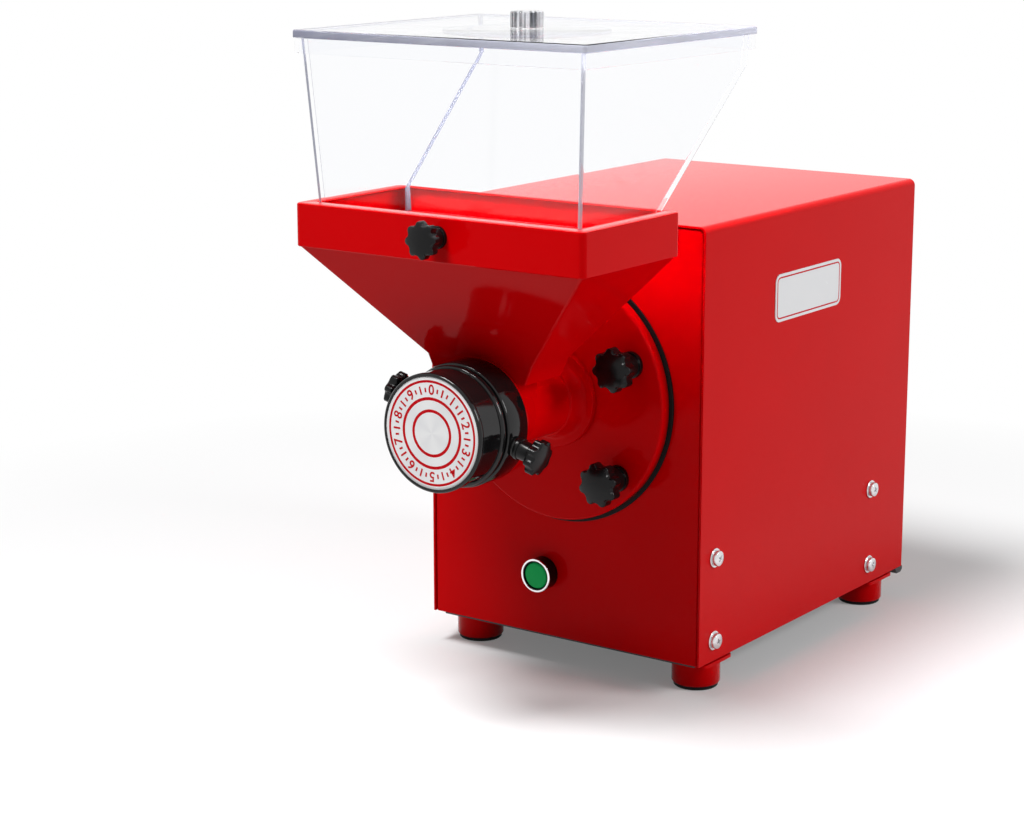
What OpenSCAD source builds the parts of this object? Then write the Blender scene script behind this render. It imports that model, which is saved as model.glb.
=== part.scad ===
// Nut butter grinder: a red sheet-metal housing on four feet, with a grinding unit on its front
// (feed screw, two toothed burrs, adjusting dial), a red funnel, a clear hopper and a lid.
// Millimetres, +Z up. The head points to -Y. The origin is on the floor, under the middle of
// the object's box.

/* [Housing] */
// Width of the cover, side to side
body_w = 270; // [250:5:300]
// Depth of the cover, front to back
body_d = 360; // [340:5:420]
// Height of the cover
body_h = 360; // [340:5:420]
// Thickness of the housing's sheet steel
sheet = 2; // [1.5:0.5:3]
// Outer radius of the cover's two long bends
bend_r = 6; // [4:1:12]
// Gap between the cover and the panels that close its ends
panel_gap = 1.2; // [0.8:0.2:2]
// How far the end panels stand back from the cover's edges
panel_recess = 0.8; // [0.4:0.2:3]
// Depth of the flanges folded back from the end panels
panel_flange = 14; // [8:1:20]
// Thickness of the base pan
pan_t = 3; // [2:0.5:4]
// Height of the base pan's side flanges
pan_flange = 30; // [24:1:45]
// Height of the four corner posts
post_h = 104; // [96:2:140]
// Leg of the corner posts' angle section
post_leg = 22; // [18:1:30]

/* [Feet] */
// Radius of a foot
foot_r = 20.2; // [15:0.2:22]
// Height of a foot below its plate
foot_h = 19; // [14:1:30]
// Side of the square plate on top of a foot
foot_plate = 44; // [44:1:52]
// Thickness of that plate
foot_plate_t = 3; // [2:0.5:5]
// Height of the rubber pad under a foot
pad_h = 3; // [2:0.5:5]
// Distance of a foot's centre from the cover's side
foot_inset_x = 24.3; // [24.2:0.1:34]
// Distance of a foot's centre from the cover's front or back
foot_inset_y = 36; // [30:1:50]

/* [Cover screws] */
// Radius of a cover screw's pan head
screw_head_r = 6.4; // [5:0.2:7]
// Height of that head
screw_head_h = 4.4; // [3:0.2:6]
// Radius of the screw's thread
screw_r = 3; // [2:0.5:3.5]
// Radius of the washer under the head
washer_r = 8; // [7.2:0.2:10]
// Thickness of that washer
washer_t = 1.4; // [1:0.2:2]
// Height of the lower screws above the cover's bottom edge
screw_low = 18; // [16:1:22]
// Height of the upper screws above the cover's bottom edge
screw_high = 88; // [60:1:92]
// Distance of the front screws from the cover's front edge
screw_front = 22; // [20:1:28]
// Distance of the rear screws from the cover's back edge
screw_back = 68; // [40:1:80]

/* [Badge plate] */
// Length of the plain plate on the right side
badge_l = 112; // [80:2:120]
// Height of that plate
badge_h = 40; // [30:2:50]
// Thickness of that plate
badge_t = 0.8; // [0.5:0.1:2]
// Distance of its centre behind the cover's front edge
badge_y = 167; // [140:1:200]
// Height of its centre above the cover's bottom edge
badge_z = 287; // [260:1:310]

/* [Push button] */
// Radius of the button's chrome ring
button_r = 14.5; // [13.5:0.5:18]
// How far the ring stands in front of the panel
button_reach = 14; // [13:0.5:24]
// Radius of the green cap
button_cap_r = 11.4; // [9:0.2:12]
// Travel of the cap
button_travel = 3; // [2:0.5:4]
// Sideways place of the button, to the right of the middle
button_x = -18; // [-30:0.5:30]
// Height of the button above the cover's bottom edge
button_z = 54.5; // [40:0.5:70]

/* [Grinding unit] */
// Height of the grinding axis above the cover's bottom edge
axis_h = 211; // [200:1:225]
// Radius of the round mounting plate
flange_r = 104.5; // [98:0.5:110]
// Thickness of the mounting plate
flange_t = 10; // [8:1:14]
// Thickness of the gasket behind it
gasket_t = 2; // [1:0.5:4]
// How far the gasket stands out past the plate
gasket_rim = 3.4; // [0:0.2:5]
// Outer radius of the feed tube
tube_r = 29; // [27:0.5:32]
// Wall of the feed tube
tube_wall = 4; // [3:0.5:5]
// Radius of the small flange at the feed tube's foot
tube_flange_r = 41.5; // [38:0.5:48]
// Thickness of that flange
tube_flange_t = 5.5; // [4:0.5:8]
// Distance of the upper mounting studs from the axis
stud_up_r = 82.5; // [78:0.5:86]
// Distance of the lower mounting studs from the axis
stud_down_r = 87; // [80:0.5:88]
// Angle of the upper studs above the horizontal
stud_up = 25; // [20:1:35]
// Angle of the lower studs below the horizontal
stud_down = 44; // [36:1:50]
// Radius of a mounting stud
stud_r = 4; // [3:0.5:5]

/* [Star knobs] */
// Diameter of the knobs on the mounting plate
knob_d = 36; // [32:1:44]
// Height of the knobs on the mounting plate
knob_h = 34; // [22:1:38]
// Diameter of the three smaller knobs
small_knob_d = 29; // [26:1:36]
// Height of the three smaller knobs
small_knob_h = 24.5; // [19:0.5:28]
// Radius of the small knobs' studs
small_stud_r = 3; // [2.5:0.5:4]

/* [Head] */
// Distance of the head's back face from the front panel
head_start = 119; // [117:0.5:130]
// Outer radius of the burr housing
head_r = 49.5; // [48:0.5:52]
// Length of the burr housing
housing_len = 26.5; // [20:0.5:30]
// Radius of the lock ring
lock_r = 48.3; // [47:0.1:52]
// Length of the lock ring
lock_len = 5.5; // [4:0.5:8]
// Radius of the outlet ring
outlet_r = 46.5; // [46:0.5:50]
// Length of the outlet ring
outlet_len = 21.5; // [20:0.5:30]
// Wall of the outlet ring and the lock ring
outlet_wall = 4; // [3:0.5:5]
// Width of the outlet slot under the outlet ring
slot_w = 60; // [40:2:64]
// Radius of the adjusting dial
dial_r = 47; // [46:0.5:52]
// Thickness of the adjusting dial
dial_t = 5; // [4:0.5:8]
// Wall of the dial's raised rim
dial_rim = 2.6; // [2:0.2:4]
// Angle of the clamping knobs below the horizontal, on the right side
clamp_angle = 15; // [0:1:30]
// Length of the bosses that the clamping knobs seat on
clamp_boss = 2; // [2:0.5:5]

/* [Feed screw and burrs] */
// Radius of the feed screw's core
screw_core_r = 12.5; // [12:0.5:14]
// Pitch of the feed screw's flight
screw_pitch = 26; // [22:1:34]
// Thickness of the flight
flight_t = 4; // [3:0.5:6]
// Gap between the flight and the feed tube's bore
flight_gap = 0.6; // [0.4:0.1:1]
// Thickness of the rotating burr without its teeth
burr_t = 8; // [7:0.5:9]
// Height of the burrs' teeth
tooth_h = 2; // [1.5:0.5:3]
// Teeth on each burr
burr_teeth = 24; // [16:2:32]
// Gap between the burrs' teeth at the finest setting
burr_gap = 0.6; // [0.4:0.1:1]
// Radius of the rotating burr
burr_r = 41; // [39:0.5:42]
// Radius of the feed screw's nose, which carries the rotating burr
nose_r = 8; // [6:0.5:9]

/* [Drive] */
// Radius of the drive shaft
shaft_r = 12.5; // [12:0.5:14]
// Module of the two gears
gear_module = 2; // [1.5:0.5:2]
// Teeth on the large gear
gear_teeth = 45; // [40:1:50]
// Teeth on the motor's pinion
pinion_teeth = 15; // [15:1:18]
// Thickness of the large gear
gear_t = 14; // [10:1:18]
// Distance from the front panel to the gear case
gear_start = 42; // [40:1:60]
// Wall of the gear case
case_wall = 5; // [4:0.5:7]
// Radius of the motor over its fins
motor_r = 60; // [56:1:68]
// Length of the motor's finned frame
motor_len = 130; // [110:5:150]
// Radius of the motor's shaft
motor_shaft_r = 7; // [6:0.5:8]
// Cooling fins round the motor
motor_fins = 30; // [24:2:36]
// Radius of the cooling fan
fan_r = 47; // [40:1:51]
// Blades on the cooling fan
fan_blades = 7; // [5:1:9]

/* [Funnel] */
// Width of the funnel's upright collar
collar_w = 273.4; // [264:0.2:280]
// Depth of the collar, front to back
collar_d = 132.2; // [124:0.2:136]
// Height of the collar
collar_h = 34.5; // [32:0.5:40]
// Distance of the collar's front face from the front panel
collar_front = 173.3; // [171:0.1:178]
// Corner radius of the collar
collar_r = 5; // [4:1:12]
// Sheet thickness of the funnel
funnel_wall = 2; // [1.5:0.5:3]
// Height of the funnel between its spout and the collar
funnel_h = 85; // [75:1:100]
// Width of the funnel where its spout begins
spout_w = 102; // [90:1:110]
// Depth of the spout at its top
spout_d = 52; // [48:1:56]
// Height of the spout
spout_h = 15; // [12:1:20]
// How much narrower the spout is at its foot, on each side
spout_taper = 7; // [4:0.5:9]
// Width of the throat into the feed tube
throat_w = 44; // [36:1:46]
// Length of the throat along the feed tube
throat_l = 36; // [30:1:38]
// Sideways place of the funnel's knob, to the right of the middle
hopper_knob_x = 4.5; // [-20:0.5:20]

/* [Clear hopper and lid] */
// Wall of the clear hopper
clear_wall = 4; // [3:0.5:5]
// Width of the hopper's foot, inside the collar
clear_foot_w = 249; // [240:1:252]
// Width of the hopper's mouth
clear_top_w = 265; // [256:1:272]
// Gap between the hopper's foot and the back of the collar's opening
clear_back_gap = 3.5; // [1:0.5:4]
// Depth of the hopper's foot, front to back
clear_foot_d = 113; // [106:1:114]
// How far the hopper leans out at the front, foot to mouth
clear_front_lean = 8; // [4:1:12]
// How far the hopper leans out at the back, foot to mouth
clear_back_lean = 112; // [90:2:130]
// Height of the hopper above the collar
clear_h = 127.5; // [110:0.5:150]
// Height of the upright band at the back of its mouth
clear_band = 24.5; // [16:0.5:40]
// Depth to which the hopper's foot stands in the collar
clear_sink = 19.5; // [16:0.5:22]
// Thickness of the lid
lid_t = 6.4; // [4:0.2:8]
// Depth of the lid's rim below the lid
lid_rim_h = 11.6; // [8:0.2:16]
// Wall of the lid's rim
lid_rim_wall = 2.6; // [2:0.2:4]
// Gap between the lid's rim and the hopper
lid_gap = 1; // [0.6:0.1:2]
// How far the lid stands out past its rim
lid_overhang = 1.2; // [0.6:0.2:3]
// Corner radius of the lid
lid_r = 3.4; // [3.2:0.2:14]
// Radius of the round plate moulded under the lid
lid_disc_r = 66; // [50:1:80]
// Thickness of that round plate
lid_disc_t = 2.4; // [1.6:0.2:4]
// Radius of the lid's knob
lid_knob_r = 13; // [10:0.5:16]
// Height of the lid's knob
lid_knob_h = 13; // [10:0.5:20]

/* [Hidden] */

$fn = 72;
// Overshoot of a cut past the face it opens
cut = 1;
// Gap between pieces that are pushed together by hand
seat_fit = 0.2;
// Radial clearance of turned pieces that seat or run in one another
running_fit = 0.05;

// Colours of the finishes
red_paint = [0.80, 0.02, 0.03];
dark_steel = [0.23, 0.24, 0.25];
bright_steel = [0.78, 0.79, 0.80];
black_plastic = [0.05, 0.05, 0.055];
rubber = [0.03, 0.03, 0.03];
clear = [0.80, 0.84, 0.90, 0.35];
cast_grey = [0.50, 0.52, 0.54];

// Heights of the housing
body_z = pad_h + foot_h + foot_plate_t + pan_t;
panel_w = body_w - 2 * (sheet + panel_gap);
panel_h = body_h - sheet - panel_gap;
panel_y = panel_recess;
rear_y = body_d - panel_recess;

// Places along the grinding axis, as distances in front of the front panel
axis_z = body_z + axis_h;
flange_back = gasket_t;
flange_front = flange_back + flange_t;
tube_bore_r = tube_r - tube_wall;
spigot_r = tube_bore_r + tube_wall / 2;
tube_end_t = 2.2;
tube_front = head_start + 6;
housing_front = head_start + housing_len;
lock_front = housing_front + lock_len;
outlet_front = lock_front + outlet_len;
dial_front = outlet_front + dial_t;
housing_bore_r = outlet_r - outlet_wall + 1;
fixed_burr_back = tube_front + seat_fit;
fixed_teeth_front = housing_front - 1;
moving_teeth_back = fixed_teeth_front + burr_gap;
moving_burr_front = moving_teeth_back + tooth_h + burr_t;
nut_h = 6;
nose_front = moving_burr_front + nut_h + 1;
ball_r = 3;
pusher_back = nose_front + 2 * ball_r + 0.3;
pusher_r = 5;
dial_travel = 1.5;
shift_room = dial_travel + 0.5;

// Places of the drive, as distances behind the front panel
axis_gap = gear_module * (gear_teeth + pinion_teeth) / 2;
motor_z = axis_z - axis_gap;
case_back = gear_start + 2 * case_wall + gear_t + 12;
gear_back = gear_start + case_wall + 6 + gear_t;
bell_t = 16;
motor_front = case_back;
frame_front = motor_front + bell_t;
frame_back = frame_front + motor_len;
motor_back = frame_back + bell_t;
fan_t = 16;
fan_back = motor_back + 3 + fan_t;
bearing_t = 15;
bearing_r = shaft_r + 13.5;
hex_af = 14;

// Heights and places of the funnel and hopper
spout_foot_z = axis_z + tube_r + 3;
spout_z = spout_foot_z + spout_h;
collar_z = spout_z + funnel_h;
collar_top = collar_z + collar_h;
collar_y0 = panel_y - collar_front;
collar_y1 = collar_y0 + collar_d;
spout_y0 = panel_y - head_start + tube_end_t + 0.5;
spout_y1 = spout_y0 + spout_d;
throat_y = panel_y - head_start + 7.5 + throat_l / 2;
opening_gap = 1;
clear_y1 = collar_y1 - funnel_wall - clear_back_gap;
clear_y0 = clear_y1 - clear_foot_d;
clear_top_y0 = clear_y0 - clear_front_lean;
clear_top_y1 = clear_y1 + clear_back_lean;
clear_foot_z = collar_top - clear_sink;
clear_top_z = collar_top + clear_h;
clear_knee_z = clear_top_z - clear_band;
lid_margin = lid_gap + lid_rim_wall + lid_overhang;
lid_y = (clear_top_y0 + clear_top_y1) / 2;
lid_w = clear_top_w + 2 * lid_margin;
lid_d = clear_top_y1 - clear_top_y0 + 2 * lid_margin;
lid_top = clear_top_z + lid_t;
hopper_knob_z = clear_foot_z + clear_sink * 0.225;

// The object's reach to the front and back sets the origin under the middle of its box
front_reach = collar_y0 - small_knob_h;
gland_reach = 16;
back_reach = rear_y + gland_reach;
middle_y = (front_reach + back_reach) / 2;

// ---- Shapes used by several pieces ----

// Moves a piece from the panel's frame to the object's own frame
module placed() {
    translate([0, -middle_y, 0]) children();
}

// Turns a shape so that its +Z points forwards along the grinding axis, a distance in front
// of the panel
module on_axis(distance = 0) {
    placed() translate([0, panel_y - distance, axis_z]) rotate([90, 0, 0]) children();
}

// The same along the motor's axis
module on_motor(distance = 0) {
    placed() translate([0, panel_y - distance, motor_z]) rotate([90, 0, 0]) children();
}

module ring(outer, inner, height) {
    difference() {
        cylinder(r = outer, h = height);
        translate([0, 0, -cut]) cylinder(r = inner, h = height + 2 * cut);
    }
}

// Flat rectangle with round corners, centred
module round_rect(w, d, r) {
    square([w - 2 * r, d], center = true);
    square([w, d - 2 * r], center = true);
    for (sx = [-1, 1], sy = [-1, 1])
        translate([sx * (w / 2 - r), sy * (d / 2 - r)]) circle(r = r);
}

// Outline of a sheet-metal arch that stands on y = 0 and has two round upper corners
module arch(w, h, r) {
    translate([-w / 2, 0]) square([w, h - r]);
    translate([-w / 2 + r, h - 2 * r]) square([w - 2 * r, 2 * r]);
    for (side = [-1, 1])
        translate([side * (w / 2 - r), h - r]) circle(r = r);
}

// Solid through stacked rectangles, each given as [height, width, front y, back y]
module loft(levels) {
    n = len(levels);
    corners = [
        for (s = levels)
            each [[-s[1] / 2, s[2], s[0]], [s[1] / 2, s[2], s[0]],
                  [s[1] / 2, s[3], s[0]], [-s[1] / 2, s[3], s[0]]]
    ];
    walls = [
        for (i = [0 : n - 2], k = [0 : 3])
            [4 * i + k, 4 * (i + 1) + k, 4 * (i + 1) + (k + 1) % 4, 4 * i + (k + 1) % 4]
    ];
    bottom = [0, 1, 2, 3];
    top = [4 * n - 1, 4 * n - 2, 4 * n - 3, 4 * n - 4];
    polyhedron(points = corners, faces = concat([bottom], walls, [top]));
}

// Levels of the inner side of a wall, from those of its outer side
function inset(levels, wall) = [for (s = levels) [s[0], s[1] - 2 * wall, s[2] + wall, s[3] - wall]];

// The last level carried on upwards along the slope of the two before it, and the first
// carried on straight down, so that a cut passes both ends
function carried_on(levels, by) = let(
    a = levels[len(levels) - 2],
    b = levels[len(levels) - 1],
    k = by / (b[0] - a[0])
) concat(
    [[levels[0][0] - by, levels[0][1], levels[0][2], levels[0][3]]],
    levels,
    [b + k * (b - a)]
);

// Star outline with rounded lobes and hollows that run into one another
module star_outline(d, lobes = 8) {
    lobe = 0.105 * d;
    reach = d / 2 - 1.02 * lobe;
    valley = 0.42 * d;
    half = 180 / lobes;
    hollow = (valley * valley + reach * reach - 2 * reach * valley * cos(half) - lobe * lobe)
        / (2 * (lobe - valley + reach * cos(half)));
    centre = (valley + hollow) * [cos(half), sin(half)];
    touch = norm([reach, 0] + lobe * (centre - [reach, 0]) / norm(centre - [reach, 0]));
    for (i = [0 : lobes - 1])
        rotate(i * 2 * half) translate([reach, 0]) circle(r = 1.02 * lobe);
    difference() {
        circle(r = touch + 0.01 * d);
        for (i = [0 : lobes - 1])
            rotate((2 * i + 1) * half) translate([valley + hollow, 0]) circle(r = hollow);
    }
}

// Star knob that stands on its hub, with a crowned face and a blind hole or a stud
module star_knob(d, h, stud, hole_depth = 0, stud_len = 0) {
    hub = 0.31 * d;
    neck = 0.27 * d;
    head_at = 0.56 * h;
    edge_h = 0.88 * h;
    crown = ((d / 2) * (d / 2) + (h - edge_h) * (h - edge_h)) / (2 * (h - edge_h));
    difference() {
        union() {
            cylinder(r = hub, h = 0.14 * h);
            cylinder(r = neck, h = head_at + cut);
            intersection() {
                translate([0, 0, head_at]) linear_extrude(h - head_at) star_outline(d);
                // Crowned face and chamfered underside
                rotate_extrude() intersection() {
                    polygon([
                        [0, 0], [0.40 * d, 0], [0.40 * d, head_at], [0.52 * d, head_at + 0.1 * d],
                        [0.52 * d, h + cut], [0, h + cut]
                    ]);
                    translate([0, h - crown]) circle(r = crown);
                }
            }
        }
        if (hole_depth > 0)
            translate([0, 0, -cut]) cylinder(r = stud + running_fit, h = hole_depth + cut);
    }
    if (stud_len > 0)
        translate([0, 0, -stud_len]) cylinder(r = stud, h = stud_len + cut);
}

// Places of the mounting studs round the axis
module at_studs() {
    for (at = [[stud_up, stud_up_r], [180 - stud_up, stud_up_r],
               [180 + stud_down, stud_down_r], [-stud_down, stud_down_r]])
        rotate(at[0]) translate([at[1], 0]) children();
}

// Places of the cover screws, with +Z pointing out of the side
module at_cover_screws() {
    for (side = [-1, 1], y = [screw_front, body_d - screw_back], z = [screw_low, screw_high])
        translate([side * body_w / 2, y, body_z + z]) rotate([0, side * 90, 0]) children();
}

// Places of the feet, on the floor
module at_feet() {
    for (sx = [-1, 1], y = [foot_inset_y, body_d - foot_inset_y])
        translate([sx * (body_w / 2 - foot_inset_x), y, 0]) children();
}

// ---- Housing ----

// Cover: one sheet folded over the top and both sides, open at the front, back and bottom
module cover() {
    color(red_paint) placed() difference() {
        translate([0, body_d, body_z]) rotate([90, 0, 0]) linear_extrude(body_d) difference() {
            arch(body_w, body_h, bend_r);
            translate([0, -cut]) arch(body_w - 2 * sheet, body_h - sheet + cut, bend_r - sheet);
        }
        at_cover_screws() translate([0, 0, -sheet - cut])
            cylinder(r = screw_r + 0.4, h = sheet + 2 * cut);
    }
}

// Shallow tray that closes one end of the cover, its flanges folded inwards
module end_tray() {
    difference() {
        linear_extrude(panel_flange) arch(panel_w, panel_h, bend_r - sheet);
        translate([0, -cut, sheet]) linear_extrude(panel_flange)
            arch(panel_w - 2 * sheet, panel_h - sheet + cut, bend_r - 2 * sheet);
    }
}

module front_panel() {
    color(red_paint) placed() difference() {
        translate([0, panel_y, body_z]) mirror([0, 1, 0]) rotate([90, 0, 0]) end_tray();
        translate([0, panel_y + sheet + cut, axis_z]) rotate([90, 0, 0]) {
            cylinder(r = shaft_r + 6, h = sheet + 2 * cut);
            at_studs() cylinder(r = stud_r + 0.3, h = sheet + 2 * cut);
        }
        translate([button_x, panel_y + sheet + cut, body_z + button_z]) rotate([90, 0, 0])
            cylinder(r = button_r - 3.3, h = sheet + 2 * cut);
    }
}

// Rear panel: two fields of louvre slots for the motor's air and the hole for the cord gland
gland_x = 84;
gland_z = 44;
gland_r = 10;
slot_pitch = 13;
slot_count = 9;
louvre_w = 74;
louvre_h = 4.5;

module rear_panel() {
    color(red_paint) placed() difference() {
        translate([0, rear_y, body_z]) rotate([90, 0, 0]) end_tray();
        for (sx = [-1, 1], i = [0 : slot_count - 1])
            translate([sx * 56, rear_y + cut, body_z + body_h / 2 - 40 + i * slot_pitch])
                rotate([90, 0, 0]) linear_extrude(sheet + 2 * cut)
                    round_rect(louvre_w, louvre_h, louvre_h / 2 - 0.01);
        translate([gland_x, rear_y + cut, body_z + gland_z]) rotate([90, 0, 0])
            cylinder(r = gland_r, h = sheet + 2 * cut);
    }
}

// Base pan: dark steel floor with two upright flanges inside the cover, and a thick bar across
// its back edge, chamfered underneath
pan_set_in = 6;
shelf_w = 12;
bar_h = 5.4;
bar_from = 12.6;
bar_out = 1.4;

module base_pan() {
    pan_w = body_w - 2 * sheet - 2 * seat_fit;
    floor_w = pan_w - 2 * pan_set_in;
    shelf_from = screw_front + post_leg;
    color(dark_steel) placed() difference() {
        union() {
            translate([-floor_w / 2, pan_set_in, body_z - pan_t]) cube([floor_w, body_d - pan_set_in, pan_t]);
            for (side = [-1, 1]) {
                translate([side * (pan_w - sheet) / 2 - sheet / 2, panel_flange + 3, body_z])
                    cube([sheet, body_d - 2 * panel_flange - 6, pan_flange]);
                // Shelf between the posts that joins the flange to the floor
                translate([side * (pan_w - shelf_w) / 2 - shelf_w / 2, shelf_from, body_z - 0.01])
                    cube([shelf_w, body_d - screw_back - post_leg - shelf_from, sheet]);
            }
            translate([-body_w / 2, body_d, body_z]) rotate([90, 0, 90]) linear_extrude(body_w)
                polygon([
                    [-bar_from, 0], [-bar_from + 3.6, -bar_h], [bar_out - 3, -bar_h],
                    [bar_out, -bar_h + 2.4], [bar_out, 0]
                ]);
        }
        at_cover_screws() translate([0, 0, -4 * sheet]) cylinder(r = screw_r + 0.1, h = 5 * sheet);
        at_feet() translate([0, 0, body_z - pan_t - cut]) cylinder(r = 4.2, h = pan_t + 2 * cut);
        // Air slots under the motor
        for (i = [-3 : 3])
            translate([i * 16, body_d * 0.62, body_z - pan_t - cut])
                linear_extrude(pan_t + 2 * cut) round_rect(5, 70, 2.4);
    }
}

// Four corner posts of angle steel that the cover's upper screws thread into
module frame_posts() {
    post_x = body_w / 2 - 2 * sheet - 2 * seat_fit;
    color(dark_steel) placed() difference() {
        for (side = [-1, 1], y = [panel_y + panel_flange + seat_fit, body_d - screw_back - post_leg / 2])
            translate([0, y, body_z]) {
                translate([side * (post_x - sheet / 2) - sheet / 2, 0, 0]) cube([sheet, post_leg, post_h]);
                translate([side * (post_x - post_leg / 2) - post_leg / 2, post_leg - sheet, 0])
                    cube([post_leg, sheet, post_h]);
            }
        at_cover_screws() translate([0, 0, -5 * sheet]) cylinder(r = screw_r + 0.1, h = 6 * sheet);
    }
}

module cover_screws() {
    color(bright_steel) placed() at_cover_screws() {
        translate([0, 0, -3 * sheet - 3]) cylinder(r = screw_r, h = 3 * sheet + 3 + washer_t + cut);
        difference() {
            translate([0, 0, washer_t]) rotate_extrude() intersection() {
                square([screw_head_r, screw_head_h]);
                translate([0, screw_head_h - screw_head_r * 1.9]) circle(r = screw_head_r * 1.9);
            }
            // Cross recess
            for (a = [0, 90])
                rotate([0, 0, a]) translate([-screw_head_r * 0.48, -0.8, washer_t + screw_head_h - 2])
                    cube([screw_head_r * 0.96, 1.6, 3]);
        }
    }
}

module cover_washers() {
    color(bright_steel) placed() at_cover_screws() ring(washer_r, screw_r + running_fit, washer_t);
}

foot_edge = 1.6;

module feet() {
    color(red_paint) placed() at_feet() difference() {
        union() {
            translate([0, 0, pad_h]) cylinder(r1 = foot_r - foot_edge, r2 = foot_r, h = foot_edge);
            translate([0, 0, pad_h + foot_edge]) cylinder(r = foot_r, h = foot_h - foot_edge + 0.01);
            translate([0, 0, pad_h + foot_h]) linear_extrude(foot_plate_t)
                round_rect(foot_plate, foot_plate, 4);
        }
        translate([0, 0, pad_h - cut]) cylinder(r = 9, h = foot_h - 4 + cut);
        translate([0, 0, pad_h]) cylinder(r = 4.2, h = foot_h + foot_plate_t + cut);
    }
}

module foot_pads() {
    color(rubber) placed() at_feet() difference() {
        union() {
            cylinder(r = foot_r - foot_edge, h = pad_h);
            translate([0, 0, pad_h - 0.01]) cylinder(r = 8.8, h = 4);
        }
        translate([0, 0, -cut]) cylinder(r = 3.4, h = pad_h + 6);
    }
}

module badge_plate() {
    color("whitesmoke") placed()
        translate([body_w / 2, badge_y, body_z + badge_z]) rotate([90, 0, 90])
            linear_extrude(badge_t) round_rect(badge_l, badge_h, 7);
}

// ---- Push button and electrics ----

// Turns a shape so that +Z points out of the panel at the push button
module at_button(distance = 0) {
    placed() translate([button_x, panel_y - distance, body_z + button_z]) rotate([90, 0, 0]) children();
}

button_neck_r = button_r - 3.6;
bezel_t = 1.6;
block_gap = 22;

module button_body() {
    color(black_plastic) at_button() difference() {
        union() {
            cylinder(r = button_r - 0.6, h = button_reach - bezel_t);
            translate([0, 0, -block_gap]) cylinder(r = button_neck_r, h = block_gap + cut);
            translate([0, 0, -sheet - 5]) cylinder(r = button_r, h = 5);
        }
        translate([0, 0, 3]) cylinder(r = button_cap_r + 0.3, h = button_reach);
        translate([0, 0, -block_gap - cut]) cylinder(r = 3.3, h = block_gap + 5);
        translate([0, 0, -block_gap - cut]) cylinder(r = button_neck_r - 2, h = block_gap - 2);
    }
}

module button_bezel() {
    color(bright_steel) at_button(button_reach - bezel_t) ring(button_r, button_cap_r + 0.3, bezel_t);
}

module button_cap() {
    cap_back = 3 + button_travel + 1;
    color([0.0, 0.53, 0.24]) at_button() {
        translate([0, 0, cap_back]) cylinder(r = button_cap_r, h = button_reach - bezel_t - cap_back + 1);
        translate([0, 0, -block_gap + 4]) cylinder(r = 3, h = block_gap + cap_back);
    }
}

module contact_block() {
    color(black_plastic) at_button(-block_gap) mirror([0, 0, 1]) difference() {
        linear_extrude(34) round_rect(28, 40, 3);
        translate([0, 0, -cut]) cylinder(r = 5, h = 10);
        for (sy = [-1, 1])
            translate([0, sy * 16, 34 - 6]) cylinder(r = 2.5, h = 6 + cut);
    }
}

capacitor_r = 20;
capacitor_l = 72;
capacitor_x = 65 - body_w / 2;
clip_w = 2 * capacitor_r + 16;
clip_l = 16;

// Motor capacitor, lying on the base pan in a clip
module capacitor() {
    lift = capacitor_r + 3;
    color("whitesmoke") placed() translate([capacitor_x, rear_y - 34, body_z]) {
        translate([0, 0, lift]) rotate([90, 0, 0]) {
            cylinder(r = capacitor_r, h = capacitor_l);
            translate([0, 0, capacitor_l]) cylinder(r = capacitor_r - 3, h = 4);
        }
        difference() {
            translate([-clip_w / 2, -44, 0]) cube([clip_w, clip_l, lift]);
            translate([0, 0, lift]) rotate([90, 0, 0]) cylinder(r = capacitor_r - 0.5, h = 80);
        }
    }
}

terminals = 5;
terminal_pitch = 12;
terminal_l = (terminals + 0.5) * terminal_pitch;
terminal_w = 22;

// Terminal block: a clamping screw from above and a wire hole through each way
module terminal_block() {
    color("ivory") placed() translate([body_w / 2 - 95, rear_y - 60, body_z]) difference() {
        cube([terminal_l, terminal_w, terminal_w]);
        for (i = [0.75 : terminals])
            translate([i * terminal_pitch, terminal_w / 2, terminal_w / 2 + 1]) {
                cylinder(r = 3, h = terminal_w);
                rotate([90, 0, 0]) cylinder(r = 2, h = 2 * terminal_w, center = true);
            }
    }
}

gland_bore_r = 4.2;

module cord_gland() {
    color(black_plastic) placed() translate([gland_x, rear_y, body_z + gland_z]) rotate([-90, 0, 0])
        difference() {
            union() {
                translate([0, 0, -sheet - 10]) cylinder(r = gland_r - 0.2, h = sheet + 11);
                translate([0, 0, -sheet - 5]) cylinder(r = 13, h = 5, $fn = 6);
                cylinder(r = 13, h = 5, $fn = 6);
                translate([0, 0, 5]) cylinder(r = 10.5, h = gland_reach - 8);
                translate([0, 0, gland_reach - 3]) cylinder(r1 = 10.5, r2 = 7.5, h = 3);
            }
            translate([0, 0, -40]) cylinder(r = gland_bore_r, h = 80);
        }
}

// ---- Grinding unit on the front ----

module flange_gasket() {
    color(rubber) on_axis() difference() {
        ring(flange_r + gasket_rim, shaft_r + 8, gasket_t);
        at_studs() translate([0, 0, -cut]) cylinder(r = stud_r + 0.3, h = gasket_t + 2 * cut);
    }
}

// Thick round plate with a rounded front edge
module flange_plate() {
    edge = 2.4;
    color(red_paint) on_axis(flange_back) difference() {
        rotate_extrude($fn = 144) {
            square([flange_r - edge, flange_t]);
            square([flange_r, flange_t - edge]);
            translate([flange_r - edge, flange_t - edge]) circle(r = edge, $fn = 48);
        }
        translate([0, 0, -cut]) cylinder(r = spigot_r + running_fit, h = flange_t + 2 * cut);
        at_studs() translate([0, 0, -cut]) cylinder(r = stud_r + 0.3, h = flange_t + 2 * cut);
    }
}

// Studs with heads behind the panel, and a washer face under each
module flange_studs() {
    color(bright_steel) on_axis() at_studs() {
        translate([0, 0, -sheet]) cylinder(r = stud_r, h = sheet + flange_front + knob_h * 0.6);
        translate([0, 0, -sheet - 5]) cylinder(r = stud_r * 1.9, h = 5, $fn = 6);
    }
}

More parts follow.
